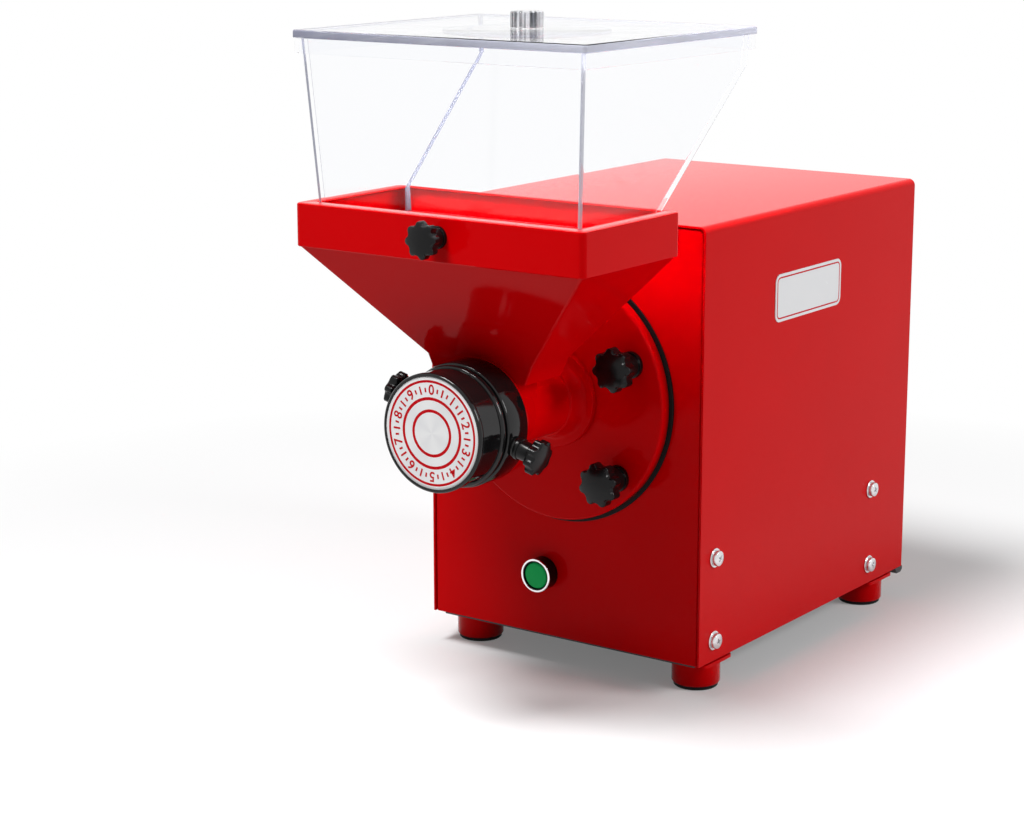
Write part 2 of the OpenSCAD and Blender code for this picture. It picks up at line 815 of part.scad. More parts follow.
// Feed tube: foot flange, flared root, seam bead, step, and the throat boss on top
bead_r = tube_r + 1.6;
step_r = tube_r + 1;
step_at = 81;
collar_len = 7;

module feed_tube() {
    root_front = flange_front + tube_flange_t + 11;
    color(red_paint) difference() {
        union() {
            on_axis(flange_front) rotate_extrude($fn = 96) polygon([
                [0, 0], [tube_flange_r - 0.8, 0], [tube_flange_r, 0.8],
                [tube_flange_r, tube_flange_t - 0.8], [tube_flange_r - 0.8, tube_flange_t],
                [tube_r + 5, tube_flange_t], [bead_r, root_front - flange_front],
                [bead_r, root_front - flange_front + 3], [tube_r, root_front - flange_front + 4.2],
                [tube_r, step_at - flange_front], [step_r, step_at - flange_front + 1],
                [step_r, head_start - flange_front - collar_len - 3],
                [step_r + 2, head_start - flange_front - collar_len - 2],
                [step_r + 2, head_start - flange_front - tube_end_t],
                [head_r - 0.4, head_start - flange_front - tube_end_t],
                [head_r - 0.4, head_start - flange_front], [tube_r, head_start - flange_front],
                [tube_r, tube_front - flange_front], [0, tube_front - flange_front]
            ]);
            on_axis(flange_back + 2) cylinder(r = spigot_r, h = flange_t);
            placed() translate([-throat_w / 2 - tube_wall, throat_y - throat_l / 2 - tube_wall, axis_z])
                cube([throat_w + 2 * tube_wall, throat_l + 2 * tube_wall, spout_foot_z - axis_z]);
        }
        on_axis() cylinder(r = tube_bore_r, h = tube_front + cut);
        placed() translate([-throat_w / 2, throat_y - throat_l / 2, axis_z])
            cube([throat_w, throat_l, spout_foot_z - axis_z + cut]);
    }
}

module shaft_seal() {
    color(rubber) on_axis(flange_back + 2) difference() {
        cylinder(r = tube_bore_r - running_fit, h = 9);
        translate([0, 0, -cut]) cylinder(r = shaft_r + running_fit, h = 9 + 2 * cut);
        translate([0, 0, 6]) cylinder(r = tube_bore_r - 5, h = 4);
    }
}

// One of the four star knobs on the mounting plate, at an angle and a distance from the axis
module flange_knob(angle, out) {
    color(black_plastic) on_axis(flange_front) rotate(angle) translate([out, 0]) rotate(-angle)
        star_knob(knob_d, knob_h, stud_r, hole_depth = knob_h * 0.6 + 0.6);
}

module flange_knob_upper_right() { flange_knob(stud_up, stud_up_r); }
module flange_knob_lower_right() { flange_knob(-stud_down, stud_down_r); }
module flange_knob_upper_left() { flange_knob(180 - stud_up, stud_up_r); }
module flange_knob_lower_left() { flange_knob(180 + stud_down, stud_down_r); }

// ---- Head ----

// Radial direction of a clamping knob; +Z points outwards
module at_clamp(side) {
    on_axis(head_start + housing_len / 2) rotate([0, 0, side > 0 ? -clamp_angle : 180 - clamp_angle])
        rotate([0, 90, 0]) children();
}

module burr_housing() {
    boss_r = small_knob_d * 0.28;
    color(black_plastic) difference() {
        union() {
            on_axis(head_start) rotate_extrude($fn = 96) polygon([
                [0, 0], [head_r - 1, 0], [head_r, 1], [head_r, housing_len - 2],
                [head_r - 1, housing_len - 1], [outlet_r, housing_len - 1],
                [outlet_r, housing_len], [0, housing_len]
            ]);
            for (side = [-1, 1])
                at_clamp(side) translate([0, 0, housing_bore_r + 1])
                    cylinder(r = boss_r, h = head_r + clamp_boss - housing_bore_r - 1);
        }
        on_axis(tube_front) cylinder(r = housing_bore_r, h = 60);
        on_axis(head_start - cut) cylinder(r = tube_r + running_fit, h = 20);
        for (side = [-1, 1])
            at_clamp(side) translate([0, 0, housing_bore_r - 4])
                cylinder(r = small_stud_r + running_fit, h = 20);
    }
}

module lock_ring() {
    color(black_plastic) on_axis(housing_front) rotate_extrude($fn = 96) polygon([
        [outlet_r - outlet_wall, 0], [lock_r - 1.2, 0], [lock_r, 1.2],
        [lock_r, lock_len - 1.2], [lock_r - 1.2, lock_len], [outlet_r - outlet_wall, lock_len]
    ]);
}

slot_from = 2;
slot_to = 4.5;

// Outlet ring: plain black sleeve with a wide slot underneath, where the butter falls out
module outlet_ring() {
    color(black_plastic) difference() {
        on_axis(lock_front) ring(outlet_r, outlet_r - outlet_wall, outlet_len);
        on_axis(lock_front + slot_from) translate([-slot_w / 2, -outlet_r - cut, 0])
            cube([slot_w, outlet_r * 0.5, outlet_len - slot_from - slot_to]);
    }
}

// Adjusting dial: raised rim, spigot that turns in the outlet ring, and a threaded hub
module dial_cap() {
    hub_r = 10;
    spigot = 4;
    color(black_plastic) on_axis(outlet_front) difference() {
        union() {
            rotate_extrude($fn = 96) polygon([
                [0, 0.2], [dial_r - 0.6, 0.2], [dial_r, 0.8], [dial_r, dial_t - 1.4],
                [dial_r - 1.4, dial_t], [0, dial_t]
            ]);
            difference() {
                translate([0, 0, -spigot])
                    cylinder(r = outlet_r - outlet_wall - running_fit, h = spigot + 1);
                translate([0, 0, -spigot - cut])
                    cylinder(r = outlet_r - outlet_wall - 3, h = spigot + cut);
            }
            translate([0, 0, -outlet_front + pusher_back + shift_room])
                cylinder(r = hub_r, h = outlet_front - pusher_back - shift_room + 1);
        }
        translate([0, 0, dial_t - 1.6]) cylinder(r = dial_r - dial_rim, h = 3);
        translate([0, 0, -20]) cylinder(r = pusher_r + running_fit, h = 20 + dial_t - 1.5 - 1.2);
    }
}

// Dial plate, let into the dial's rim
module dial_disc() {
    color("whitesmoke") on_axis(dial_front - 1.6) cylinder(r = dial_r - dial_rim - seat_fit, h = 1);
}

// Pusher: does not turn; the dial's thread moves it along the axis
module adjuster_pusher() {
    push_end = dial_front - 1.5 - 1.2 - dial_travel - 0.4;
    color(bright_steel) on_axis(pusher_back) cylinder(r = pusher_r, h = push_end - pusher_back);
}

module thrust_ball() {
    color(bright_steel) on_axis(nose_front + ball_r) sphere(r = ball_r);
}

module clamp_knob(side) {
    color(black_plastic) at_clamp(side) translate([0, 0, head_r + clamp_boss])
        star_knob(small_knob_d, small_knob_h, small_stud_r,
            stud_len = head_r + clamp_boss - housing_bore_r - 0.3);
}

module clamp_knob_right() { clamp_knob(1); }
module clamp_knob_left() { clamp_knob(-1); }

// Ring of radial teeth, wedge-shaped in section, cut from inner to outer radius
module burr_teeth_ring(r_in, r_out, skew) {
    intersection() {
        ring(r_out, r_in, tooth_h);
        for (i = [0 : burr_teeth - 1])
            rotate(i * 360 / burr_teeth) rotate([90, 0, 90 + skew]) linear_extrude(r_out + 2)
                polygon([[-1.6, -0.01], [1.6, -0.01], [0.5, tooth_h], [-0.5, tooth_h]]);
    }
}

module fixed_burr() {
    body_t = fixed_teeth_front - tooth_h - fixed_burr_back;
    color(bright_steel) on_axis(fixed_burr_back) difference() {
        union() {
            cylinder(r = housing_bore_r - running_fit, h = body_t);
            translate([0, 0, body_t]) burr_teeth_ring(tube_bore_r + 2, burr_r, 12);
        }
        translate([0, 0, -cut]) cylinder(r = tube_bore_r, h = body_t + tooth_h + 2 * cut);
    }
}

module rotating_burr() {
    color(bright_steel) on_axis(moving_teeth_back) difference() {
        union() {
            translate([0, 0, tooth_h]) cylinder(r = burr_r, h = burr_t);
            translate([0, 0, tooth_h + 0.01]) mirror([0, 0, 1])
                burr_teeth_ring(nose_r + 6, burr_r, -12);
        }
        translate([0, 0, -cut]) cylinder(r = nose_r + running_fit, h = burr_t + tooth_h + 2 * cut);
    }
}

module burr_nut() {
    color(bright_steel) on_axis(moving_burr_front) difference() {
        cylinder(r = nose_r * 1.6, h = nut_h, $fn = 6);
        translate([0, 0, -cut]) cylinder(r = nose_r + running_fit, h = nut_h + 2 * cut);
    }
}

// Feed screw: hexagonal tail, round core, stepped nose, and one helical flight
module feed_screw() {
    tail_back = flange_back;
    core_back = flange_back + 20;
    core_front = fixed_teeth_front;
    flight_back = core_back + 6;
    flight_len = core_front - flight_back - 3;
    // The turned ends are a little slimmer than the cast core between them
    end_r = screw_core_r - 0.7;
    flight_r = tube_bore_r - flight_gap;
    turns = flight_len / screw_pitch;
    thick = 360 * flight_t / screw_pitch;
    color(bright_steel) on_axis() {
        translate([0, 0, tail_back]) cylinder(r = hex_af / sqrt(3), h = core_back - tail_back + 1, $fn = 6);
        for (span = [[core_back, flight_back + 2], [flight_back + flight_len - 2, core_front]])
            translate([0, 0, span[0]]) cylinder(r = end_r, h = span[1] - span[0]);
        translate([0, 0, core_front - 1]) cylinder(r = nose_r + 3.5, h = moving_teeth_back + tooth_h - core_front + 1);
        translate([0, 0, core_front]) cylinder(r = nose_r, h = nose_front - core_front);
        // Core and flight are one casting over the flight's length
        translate([0, 0, flight_back])
            linear_extrude(flight_len, twist = -360 * turns, slices = ceil(turns * 22), $fn = 16)
                polygon([
                    for (a = [-thick / 2 : thick / 4 : thick / 2 + 0.01])
                        flight_r * [cos(a), sin(a)],
                    for (a = [thick / 2 + 4 : (360 - thick - 8) / 15 : 360 - thick / 2 - 3.9])
                        screw_core_r * [cos(a), sin(a)]
                ]);
    }
}

// ---- Drive ----

module drive_shaft() {
    shaft_back = case_back - case_wall - 0.5;
    socket = 21;
    color(bright_steel) on_axis(-shaft_back) difference() {
        cylinder(r = shaft_r, h = shaft_back + flange_back + 19);
        translate([0, 0, shaft_back + flange_back + 19 - socket])
            cylinder(r = (hex_af + 2 * running_fit) / sqrt(3), h = socket + cut, $fn = 6);
    }
}

module front_bearing() {
    color(bright_steel) on_axis(-sheet - 4 - bearing_t) difference() {
        ring(bearing_r, shaft_r + running_fit, bearing_t);
        for (z = [-1, bearing_t - 1.5])
            translate([0, 0, z]) ring(bearing_r - 3.5, shaft_r + 3.5, 2.5);
    }
}

module bearing_housing() {
    back = gear_start;
    color(cast_grey) on_axis(-back) difference() {
        union() {
            cylinder(r = bearing_r + 8, h = back - sheet);
            translate([0, 0, back - sheet - 7]) cylinder(r = bearing_r + 20, h = 7);
            cylinder(r = bearing_r + 16, h = 6);
        }
        translate([0, 0, -cut]) cylinder(r = shaft_r + 3, h = back + 2 * cut);
        translate([0, 0, back - sheet - 4 - bearing_t]) cylinder(r = bearing_r + running_fit, h = 40);
        for (a = [0 : 60 : 300])
            rotate(a) translate([bearing_r + 14, 0, back - sheet - 8]) cylinder(r = 2.6, h = 10);
    }
}

// Involute of a circle of radius rb, unrolled by t degrees
function involute(rb, t) = rb * [cos(t) + t * PI / 180 * sin(t), sin(t) - t * PI / 180 * cos(t)];

// Toothed outline: stub involute teeth at 20 degrees, thinned by the backlash
module gear_outline(teeth, backlash = 0.25) {
    pitch_r = gear_module * teeth / 2;
    base_r = pitch_r * cos(20);
    tip_r = pitch_r + 0.8 * gear_module;
    root_r = pitch_r - 1.1 * gear_module;
    flank_start = max(0, root_r > base_r ? sqrt(pow(root_r / base_r, 2) - 1) * 180 / PI : 0);
    flank_end = sqrt(pow(tip_r / base_r, 2) - 1) * 180 / PI;
    pitch_t = sqrt(pow(pitch_r / base_r, 2) - 1) * 180 / PI;
    pitch_pt = involute(base_r, pitch_t);
    half = 90 / teeth - backlash / 2 / pitch_r * 180 / PI + atan2(pitch_pt[1], pitch_pt[0]);
    steps = 3;
    flank = [
        for (i = [0 : steps])
            let(p = involute(base_r, flank_start + (flank_end - flank_start) * i / steps))
                norm(p) * [cos(atan2(p[1], p[0]) - half), sin(atan2(p[1], p[0]) - half)]
    ];
    tooth = concat(
        [root_r * [cos(-180 / teeth), sin(-180 / teeth)], root_r * [cos(-half), sin(-half)]],
        flank,
        [for (i = [steps : -1 : 0]) [flank[i][0], -flank[i][1]]],
        [root_r * [cos(half), sin(half)]]
    );
    polygon([
        for (k = [0 : teeth - 1], p = tooth)
            let(a = k * 360 / teeth)
                [p[0] * cos(a) - p[1] * sin(a), p[0] * sin(a) + p[1] * cos(a)]
    ]);
}

// Large gear, with a tooth pointing down to the pinion, a web and a hub
module large_gear() {
    color(cast_grey) on_axis(-gear_back) difference() {
        union() {
            linear_extrude(gear_t) rotate(-90) gear_outline(gear_teeth);
            translate([0, 0, -5]) cylinder(r = shaft_r + 7, h = gear_t + 10);
        }
        translate([0, 0, -6]) cylinder(r = shaft_r + 0.02, h = gear_t + 12);
        for (z = [-cut, gear_t - 3])
            translate([0, 0, z]) ring(gear_module * gear_teeth / 2 - 8, shaft_r + 10, 3 + cut);
    }
}

// Pinion on the motor's shaft, with a gap between teeth pointing up to the gear
module pinion() {
    color(bright_steel) on_motor(-gear_back - 1) difference() {
        linear_extrude(gear_t + 2) rotate(90 + 180 / pinion_teeth) gear_outline(pinion_teeth);
        translate([0, 0, -cut]) cylinder(r = motor_shaft_r + 0.02, h = gear_t + 4);
    }
}

// Outline of the gear case's chamber round both gears, grown by a wall
module chamber(grow) {
    gear_room = gear_module * (gear_teeth / 2 + 1) + 2.5 + grow;
    pinion_room = gear_module * (pinion_teeth / 2 + 1) + 2.5 + grow;
    circle(r = gear_room);
    translate([0, -axis_gap]) circle(r = pinion_room);
    translate([-pinion_room, -axis_gap]) square([2 * pinion_room, axis_gap]);
}

module gear_case() {
    depth = case_back - gear_start - case_wall;
    color(cast_grey) on_axis(-case_back) difference() {
        linear_extrude(depth) chamber(case_wall);
        translate([0, 0, case_wall]) linear_extrude(depth) chamber(0);
        translate([0, -axis_gap, -cut]) cylinder(r = motor_shaft_r + 1, h = case_wall + 2 * cut);
    }
}

module gear_cover() {
    color(cast_grey) on_axis(-gear_start - case_wall) difference() {
        linear_extrude(case_wall) chamber(case_wall);
        translate([0, 0, -cut]) cylinder(r = shaft_r + running_fit, h = case_wall + 2 * cut);
        translate([0, -axis_gap, -cut]) cylinder(r = motor_shaft_r + 0.5, h = 3);
    }
}

rotor_r = motor_r - 29;
stator_bore_r = rotor_r + 0.5;
fin_depth = 5;

// Motor frame with cooling fins outside and the wound stator pack inside
module motor_frame() {
    step = 360 / motor_fins;
    root = motor_r - fin_depth;
    color(cast_grey) on_motor(-frame_back) difference() {
        linear_extrude(motor_len) polygon([
            for (i = [0 : motor_fins - 1])
                each [
                    root * [cos(i * step - 0.32 * step), sin(i * step - 0.32 * step)],
                    motor_r * [cos(i * step - 0.2 * step), sin(i * step - 0.2 * step)],
                    motor_r * [cos(i * step + 0.2 * step), sin(i * step + 0.2 * step)],
                    root * [cos(i * step + 0.32 * step), sin(i * step + 0.32 * step)]
                ]
        ]);
        translate([0, 0, -cut]) cylinder(r = stator_bore_r, h = motor_len + 2 * cut);
    }
}

// End bells of the motor: shallow cups with a bearing bore
module motor_bells() {
    color(cast_grey) for (at = [frame_front, motor_back])
        on_motor(-at) difference() {
            cylinder(r = motor_r - fin_depth, h = bell_t);
            translate([0, 0, -cut]) cylinder(r = motor_shaft_r + running_fit, h = bell_t + 2 * cut);
            if (at == frame_front)
                translate([0, 0, -cut]) cylinder(r = motor_r - fin_depth - 6, h = bell_t - 6 + cut);
            else
                translate([0, 0, 6]) cylinder(r = motor_r - fin_depth - 6, h = bell_t);
        }
}

module rotor() {
    shaft_front = gear_back - gear_t - 3;
    color(bright_steel) {
        on_motor(-fan_back) cylinder(r = motor_shaft_r, h = fan_back - shaft_front);
        on_motor(-frame_back + 12) cylinder(r = rotor_r, h = motor_len - 24);
    }
}

module cooling_fan() {
    color(black_plastic) on_motor(-fan_back) difference() {
        union() {
            cylinder(r = motor_shaft_r + 6, h = fan_t);
            translate([0, 0, fan_t - 2]) cylinder(r = fan_r, h = 2);
            for (i = [0 : fan_blades - 1])
                rotate(i * 360 / fan_blades + 10) translate([motor_shaft_r + 4, -1, 1])
                    cube([fan_r - motor_shaft_r - 6, 2, fan_t - 2]);
        }
        translate([0, 0, -cut]) cylinder(r = motor_shaft_r + 0.02, h = fan_t + 2 * cut);
    }
}

module fan_cover() {
    cowl_r = motor_r - fin_depth;
    depth = fan_back - motor_back + 6;
    color(dark_steel) on_motor(-motor_back - depth) difference() {
        cylinder(r = cowl_r, h = depth);
        translate([0, 0, 1.6]) cylinder(r = cowl_r - 1.6, h = depth);
        for (i = [0 : 11])
            rotate(i * 30) translate([18, -2, -cut]) cube([26, 4, 4]);
    }
}

// Cradle that carries the motor on the base pan: a foot plate and two webs
module motor_bracket() {
    web_t = 5;
    color(dark_steel) placed() difference() {
        union() {
            translate([-56, panel_y + frame_front + 8, body_z]) cube([112, motor_len - 16, 4]);
            for (y = [frame_front + 12, frame_back - 12 - web_t])
                translate([-48, panel_y + y, body_z]) cube([96, web_t, motor_z - body_z - motor_r * 0.7]);
        }
        translate([0, panel_y + frame_front, motor_z]) rotate([-90, 0, 0])
            cylinder(r = motor_r, h = motor_len);
    }
}

// ---- Funnel, clear hopper and lid ----

// Red funnel: folded collar with a lip and a ledge inside, four sloping walls, and a spout
// that stands on the feed tube's throat
module hopper_funnel() {
    collar_y = (collar_y0 + collar_y1) / 2;
    lip_w = clear_foot_w + 2 * opening_gap;
    lip_front = clear_y0 - opening_gap;
    lip_back = clear_y1 + opening_gap;
    ledge_in = clear_wall + 2;
    fold = 1.6;
    outer = [
        [spout_foot_z, spout_w - 2 * spout_taper, spout_y0 + 0.4, spout_y1 - 1],
        [spout_z, spout_w, spout_y0, spout_y1],
        [collar_z + 1, collar_w - 2 * fold, collar_y0 + fold, collar_y1 - fold]
    ];
    color(red_paint) placed() difference() {
        union() {
            difference() {
                translate([0, collar_y, collar_z]) linear_extrude(collar_h)
                    round_rect(collar_w, collar_d, collar_r);
                translate([0, collar_y, collar_z - cut]) linear_extrude(collar_h - funnel_wall + cut)
                    round_rect(collar_w - 2 * funnel_wall, collar_d - 2 * funnel_wall, collar_r - funnel_wall);
                translate([-lip_w / 2, lip_front, collar_z])
                    cube([lip_w, lip_back - lip_front, collar_h + cut]);
            }
            // Ledge that the clear hopper stands on
            translate([0, 0, clear_foot_z - funnel_wall]) difference() {
                translate([-collar_w / 2 + funnel_wall / 2, collar_y0 + funnel_wall / 2, 0])
                    cube([collar_w - funnel_wall, collar_d - funnel_wall, funnel_wall]);
                translate([-clear_foot_w / 2 + ledge_in, clear_y0 + ledge_in, -cut])
                    cube([clear_foot_w - 2 * ledge_in, clear_foot_d - 2 * ledge_in, funnel_wall + 2 * cut]);
            }
            difference() {
                loft(outer);
                loft(carried_on(inset(outer, funnel_wall), 2));
            }
            // Floor of the spout, open over the throat
            translate([-spout_w / 2 + spout_taper + 0.5, spout_y0 + 1, spout_foot_z]) difference() {
                cube([spout_w - 2 * spout_taper - 1, spout_d - 2.5, funnel_wall]);
                translate([spout_w / 2 - spout_taper - 0.5 - throat_w / 2,
                           throat_y - throat_l / 2 - spout_y0 - 1, -cut])
                    cube([throat_w, throat_l, funnel_wall + 2 * cut]);
            }
        }
        translate([hopper_knob_x, collar_y0 - cut, hopper_knob_z]) rotate([-90, 0, 0])
            cylinder(r = small_stud_r + running_fit, h = funnel_wall + 2 * cut);
    }
}

// Knob that clamps the clear hopper's foot through the collar's front wall
module hopper_knob() {
    color(black_plastic) placed() translate([hopper_knob_x, collar_y0, hopper_knob_z]) rotate([90, 0, 0])
        star_knob(small_knob_d, small_knob_h, small_stud_r, stud_len = clear_y0 - collar_y0 - 0.4);
}

// Clear hopper: upright foot, walls that lean out, the back one far out, and an upright band
module clear_hopper() {
    lean = (clear_knee_z - collar_top) / (clear_top_z - collar_top);
    outer = [
        [clear_foot_z, clear_foot_w, clear_y0, clear_y1],
        [collar_top, clear_foot_w, clear_y0, clear_y1],
        [clear_knee_z, clear_foot_w + lean * (clear_top_w - clear_foot_w),
            clear_y0 - lean * clear_front_lean, clear_top_y1],
        [clear_top_z, clear_top_w, clear_top_y0, clear_top_y1]
    ];
    color(clear) placed() difference() {
        loft(outer);
        loft(carried_on(inset(outer, clear_wall), 2));
    }
}

module lid() {
    rim_w = lid_w - 2 * lid_overhang;
    rim_d = lid_d - 2 * lid_overhang;
    rim_r = lid_r - lid_overhang;
    // Small enough to pass round the hopper's sharp corners
    rim_bore_r = 2 * lid_gap;
    color(clear) placed() translate([0, lid_y, clear_top_z]) {
        difference() {
            union() {
                linear_extrude(lid_t) round_rect(lid_w, lid_d, lid_r);
                translate([0, 0, -lid_rim_h]) linear_extrude(lid_rim_h + 0.01)
                    round_rect(rim_w, rim_d, rim_r);
            }
            translate([0, 0, -lid_rim_h - cut]) linear_extrude(lid_rim_h + cut)
                round_rect(rim_w - 2 * lid_rim_wall, rim_d - 2 * lid_rim_wall, rim_bore_r);
        }
        translate([0, 0, -lid_disc_t]) cylinder(r = lid_disc_r, h = lid_disc_t + 0.01);
    }
}

module lid_knob() {
    edge = 1.2;
    color(bright_steel) placed() translate([0, lid_y, lid_top]) rotate_extrude() polygon([
        [0, 0], [lid_knob_r - 0.6, 0], [lid_knob_r, 0.6], [lid_knob_r, lid_knob_h - edge],
        [lid_knob_r - edge, lid_knob_h], [0, lid_knob_h]
    ]);
}

cover();
front_panel();
rear_panel();
base_pan();
frame_posts();
feet();
foot_pads();
cover_screws();
cover_washers();
badge_plate();
button_body();
button_bezel();
button_cap();
contact_block();
capacitor();
terminal_block();
cord_gland();
flange_gasket();
flange_plate();
flange_studs();
feed_tube();
shaft_seal();
flange_knob_upper_right();
flange_knob_lower_right();
flange_knob_upper_left();
flange_knob_lower_left();
burr_housing();
lock_ring();
outlet_ring();
dial_cap();
dial_disc();
adjuster_pusher();
thrust_ball();
clamp_knob_right();
clamp_knob_left();
fixed_burr();
rotating_burr();
burr_nut();
feed_screw();
drive_shaft();
front_bearing();
bearing_housing();
large_gear();
pinion();
gear_case();
gear_cover();
motor_frame();
motor_bells();
rotor();
cooling_fan();
fan_cover();
motor_bracket();
hopper_funnel();
hopper_knob();
clear_hopper();
lid();
lid_knob();
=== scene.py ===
from math import atan2, cos, pi, radians, sin, sqrt

import bmesh
import bpy
from mathutils import Matrix, Vector


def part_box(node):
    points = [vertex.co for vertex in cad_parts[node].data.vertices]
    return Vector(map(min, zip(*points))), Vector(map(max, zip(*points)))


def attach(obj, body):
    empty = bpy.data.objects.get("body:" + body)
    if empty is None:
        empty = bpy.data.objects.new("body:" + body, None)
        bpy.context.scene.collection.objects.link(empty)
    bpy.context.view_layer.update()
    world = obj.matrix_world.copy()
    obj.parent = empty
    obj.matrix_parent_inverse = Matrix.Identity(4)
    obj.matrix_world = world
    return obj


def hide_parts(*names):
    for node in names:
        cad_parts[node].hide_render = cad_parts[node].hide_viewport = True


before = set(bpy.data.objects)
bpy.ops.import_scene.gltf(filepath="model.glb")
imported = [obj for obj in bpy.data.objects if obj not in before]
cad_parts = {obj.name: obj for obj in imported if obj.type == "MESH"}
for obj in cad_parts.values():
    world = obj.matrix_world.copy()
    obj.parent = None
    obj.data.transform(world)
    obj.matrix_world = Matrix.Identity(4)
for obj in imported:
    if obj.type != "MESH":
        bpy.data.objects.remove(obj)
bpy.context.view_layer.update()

# ---- Cover ----
# The cover is one sheet of 2 mm steel folded down over both sides of the machine like a tunnel,
# and sprayed with glossy red enamel, which stays a little uneven like the skin of an orange.

mm = 0.001


class Wire:
    """A value on its way through a finish's nodes. A sum or a product of it adds a maths node."""

    def __init__(self, finish, socket):
        self.finish = finish
        self.socket = socket

    def maths(self, operation, first, second):
        return self.finish.node("ShaderNodeMath", {"operation": operation}, {0: first, 1: second})

    def __add__(self, other):
        return self.maths("ADD", self, other)

    def __sub__(self, other):
        return self.maths("SUBTRACT", self, other)

    def __rsub__(self, other):
        return self.maths("SUBTRACT", other, self)

    def __mul__(self, other):
        return self.maths("MULTIPLY", self, other)

    __radd__ = __add__
    __rmul__ = __mul__


class Finish:
    """The finish of a surface: one material, and the sockets of its main shader set by name."""

    def __init__(self, name, **sockets):
        self.material = bpy.data.materials.new(name)
        self.material.use_nodes = True
        self.tree = self.material.node_tree
        self.shader = self.tree.nodes["Principled BSDF"]
        for socket, value in sockets.items():
            self.feed(self.shader.inputs[socket.replace("_", " ")], value)

    def feed(self, socket, value):
        if isinstance(value, Wire):
            self.tree.links.new(value.socket, socket)
        elif socket.type == "RGBA":
            socket.default_value = (*value, 1)
        else:
            socket.default_value = value

    def node(self, kind, settings, inputs, output=0):
        """Adds a node of any kind: first its settings, then the values or wires of its sockets."""
        made = self.tree.nodes.new(kind)
        for name, value in settings.items():
            if name == "stops":
                stops = made.color_ramp.elements
                for place, shade in value[2:]:
                    stops.new(place)
                for stop, (place, shade) in zip(stops, value):
                    stop.position = place
                    stop.color = (shade, shade, shade, 1)
            else:
                setattr(made, name, value)
        for name, value in inputs.items():
            self.feed(made.inputs[name], value)
        return Wire(self, made.outputs[output])

    def grain(self, size, detail=2.0, stretch=(1, 1, 1), centre=(0, 0, 0)):
        """Noise in spots of about one size in metres, which stretch draws out along an axis."""
        place = self.node("ShaderNodeTexCoord", {}, {}, "Object")
        shrink = tuple(1 / s for s in stretch)
        place = self.node("ShaderNodeMapping", {}, {"Vector": place, "Location": centre, "Scale": shrink})
        return self.node("ShaderNodeTexNoise", {}, {"Vector": place, "Scale": 1 / size, "Detail": detail})

    def blend(self, factor, first, second):
        """A colour between two others."""
        return self.node("ShaderNodeMix", {"data_type": "RGBA"}, {0: factor, 6: first, 7: second}, 2)

    def colour(self, factor, first, second):
        self.feed(self.shader.inputs["Base Color"], self.blend(factor, first, second))

    def roughness(self, value):
        self.feed(self.shader.inputs["Roughness"], value)

    def relief(self, height, depth, strength=1.0):
        """Bumps of a height map, at most depth metres deep."""
        settings = {"Height": height, "Distance": depth, "Strength": strength}
        self.feed(self.shader.inputs["Normal"], self.node("ShaderNodeBump", {}, settings))


def enamel(name, light, dark, peel):
    """Sprayed and baked enamel: even colour, high gloss, and the faint waves of orange peel."""
    paint = Finish(name, Specular_IOR_Level=0.06, Specular_Tint=(1.0, 0.35, 0.35))
    paint.colour(paint.grain(90 * mm, 3), dark, light)
    paint.roughness(0.04 + 0.07 * paint.grain(35 * mm, 4))
    paint.relief(paint.grain(2.6 * mm, 2) + 0.25 * paint.grain(0.8 * mm, 1), peel)
    return paint


def block(low, high):
    """A box between two corners."""
    shape = bmesh.new()
    bmesh.ops.create_cube(shape, size=1)
    bmesh.ops.scale(shape, vec=high - low, verts=shape.verts)
    bmesh.ops.translate(shape, vec=(low + high) / 2, verts=shape.verts)
    shape.normal_update()
    return shape


def round_edges(shape, edges, radius, steps=6):
    bmesh.ops.bevel(shape, geom=edges, offset=radius, segments=steps, profile=0.5,
                    affect="EDGES", material=-1)


def piece(name, shape, *finishes, edge=0.0, steps=3, angle=35):
    """Makes an object of a shape, smooth where it curves, with its edges eased by a small radius."""
    mesh = bpy.data.meshes.new(name)
    shape.to_mesh(mesh)
    shape.free()
    mesh.shade_smooth()
    mesh.set_sharp_from_angle(angle=radians(angle))
    for finish in finishes:
        mesh.materials.append(finish.material)
    made = bpy.data.objects.new(name, mesh)
    bpy.context.scene.collection.objects.link(made)
    if edge:
        ease = made.modifiers.new("eased_edges", "BEVEL")
        ease.width = edge
        ease.segments = steps
        ease.limit_method = "ANGLE"
        ease.angle_limit = radians(angle)
        ease.harden_normals = True
    return made


def of_sheet(made, thickness):
    """Gives a folded surface the thickness of its sheet, on its inner side."""
    wall = made.modifiers.new("sheet", "SOLIDIFY")
    wall.thickness = thickness
    wall.offset = -1
    wall.use_even_offset = True
    made.modifiers.move(len(made.modifiers) - 1, 0)


def seat(made, body, slot, *nodes):
    """Fixes a piece to the body that carries it, in place of the plain nodes that it stands for."""
    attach(made, body)
    if nodes:
        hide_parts(*nodes)


red_enamel = enamel("red_enamel", (0.72, 0.0, 0.002), (0.64, 0.0, 0.001), 0.03 * mm)

sheet = 2 * mm
cover_bend = 6 * mm
low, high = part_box("cover")
tunnel = block(low, high)
open_sides = [f for f in tunnel.faces if f.normal.z < -0.5 or abs(f.normal.y) > 0.5]
bmesh.ops.delete(tunnel, geom=open_sides, context="FACES")
folds = [e for e in tunnel.edges if min(v.co.z for v in e.verts) > high.z - mm and len(e.link_faces) == 2]
round_edges(tunnel, folds, cover_bend, 10)
cover = piece("cover_shell", tunnel, red_enamel, edge=0.35 * mm)
of_sheet(cover, sheet)
seat(cover, "housing", "red_paint", "cover")

# ---- Front and rear panels ----
# Two shallow trays of the same sheet close the ends of the cover. They sit just inside it, so a
# fine dark gap runs round them. The rear one has punched slots for the motor's cooling air.


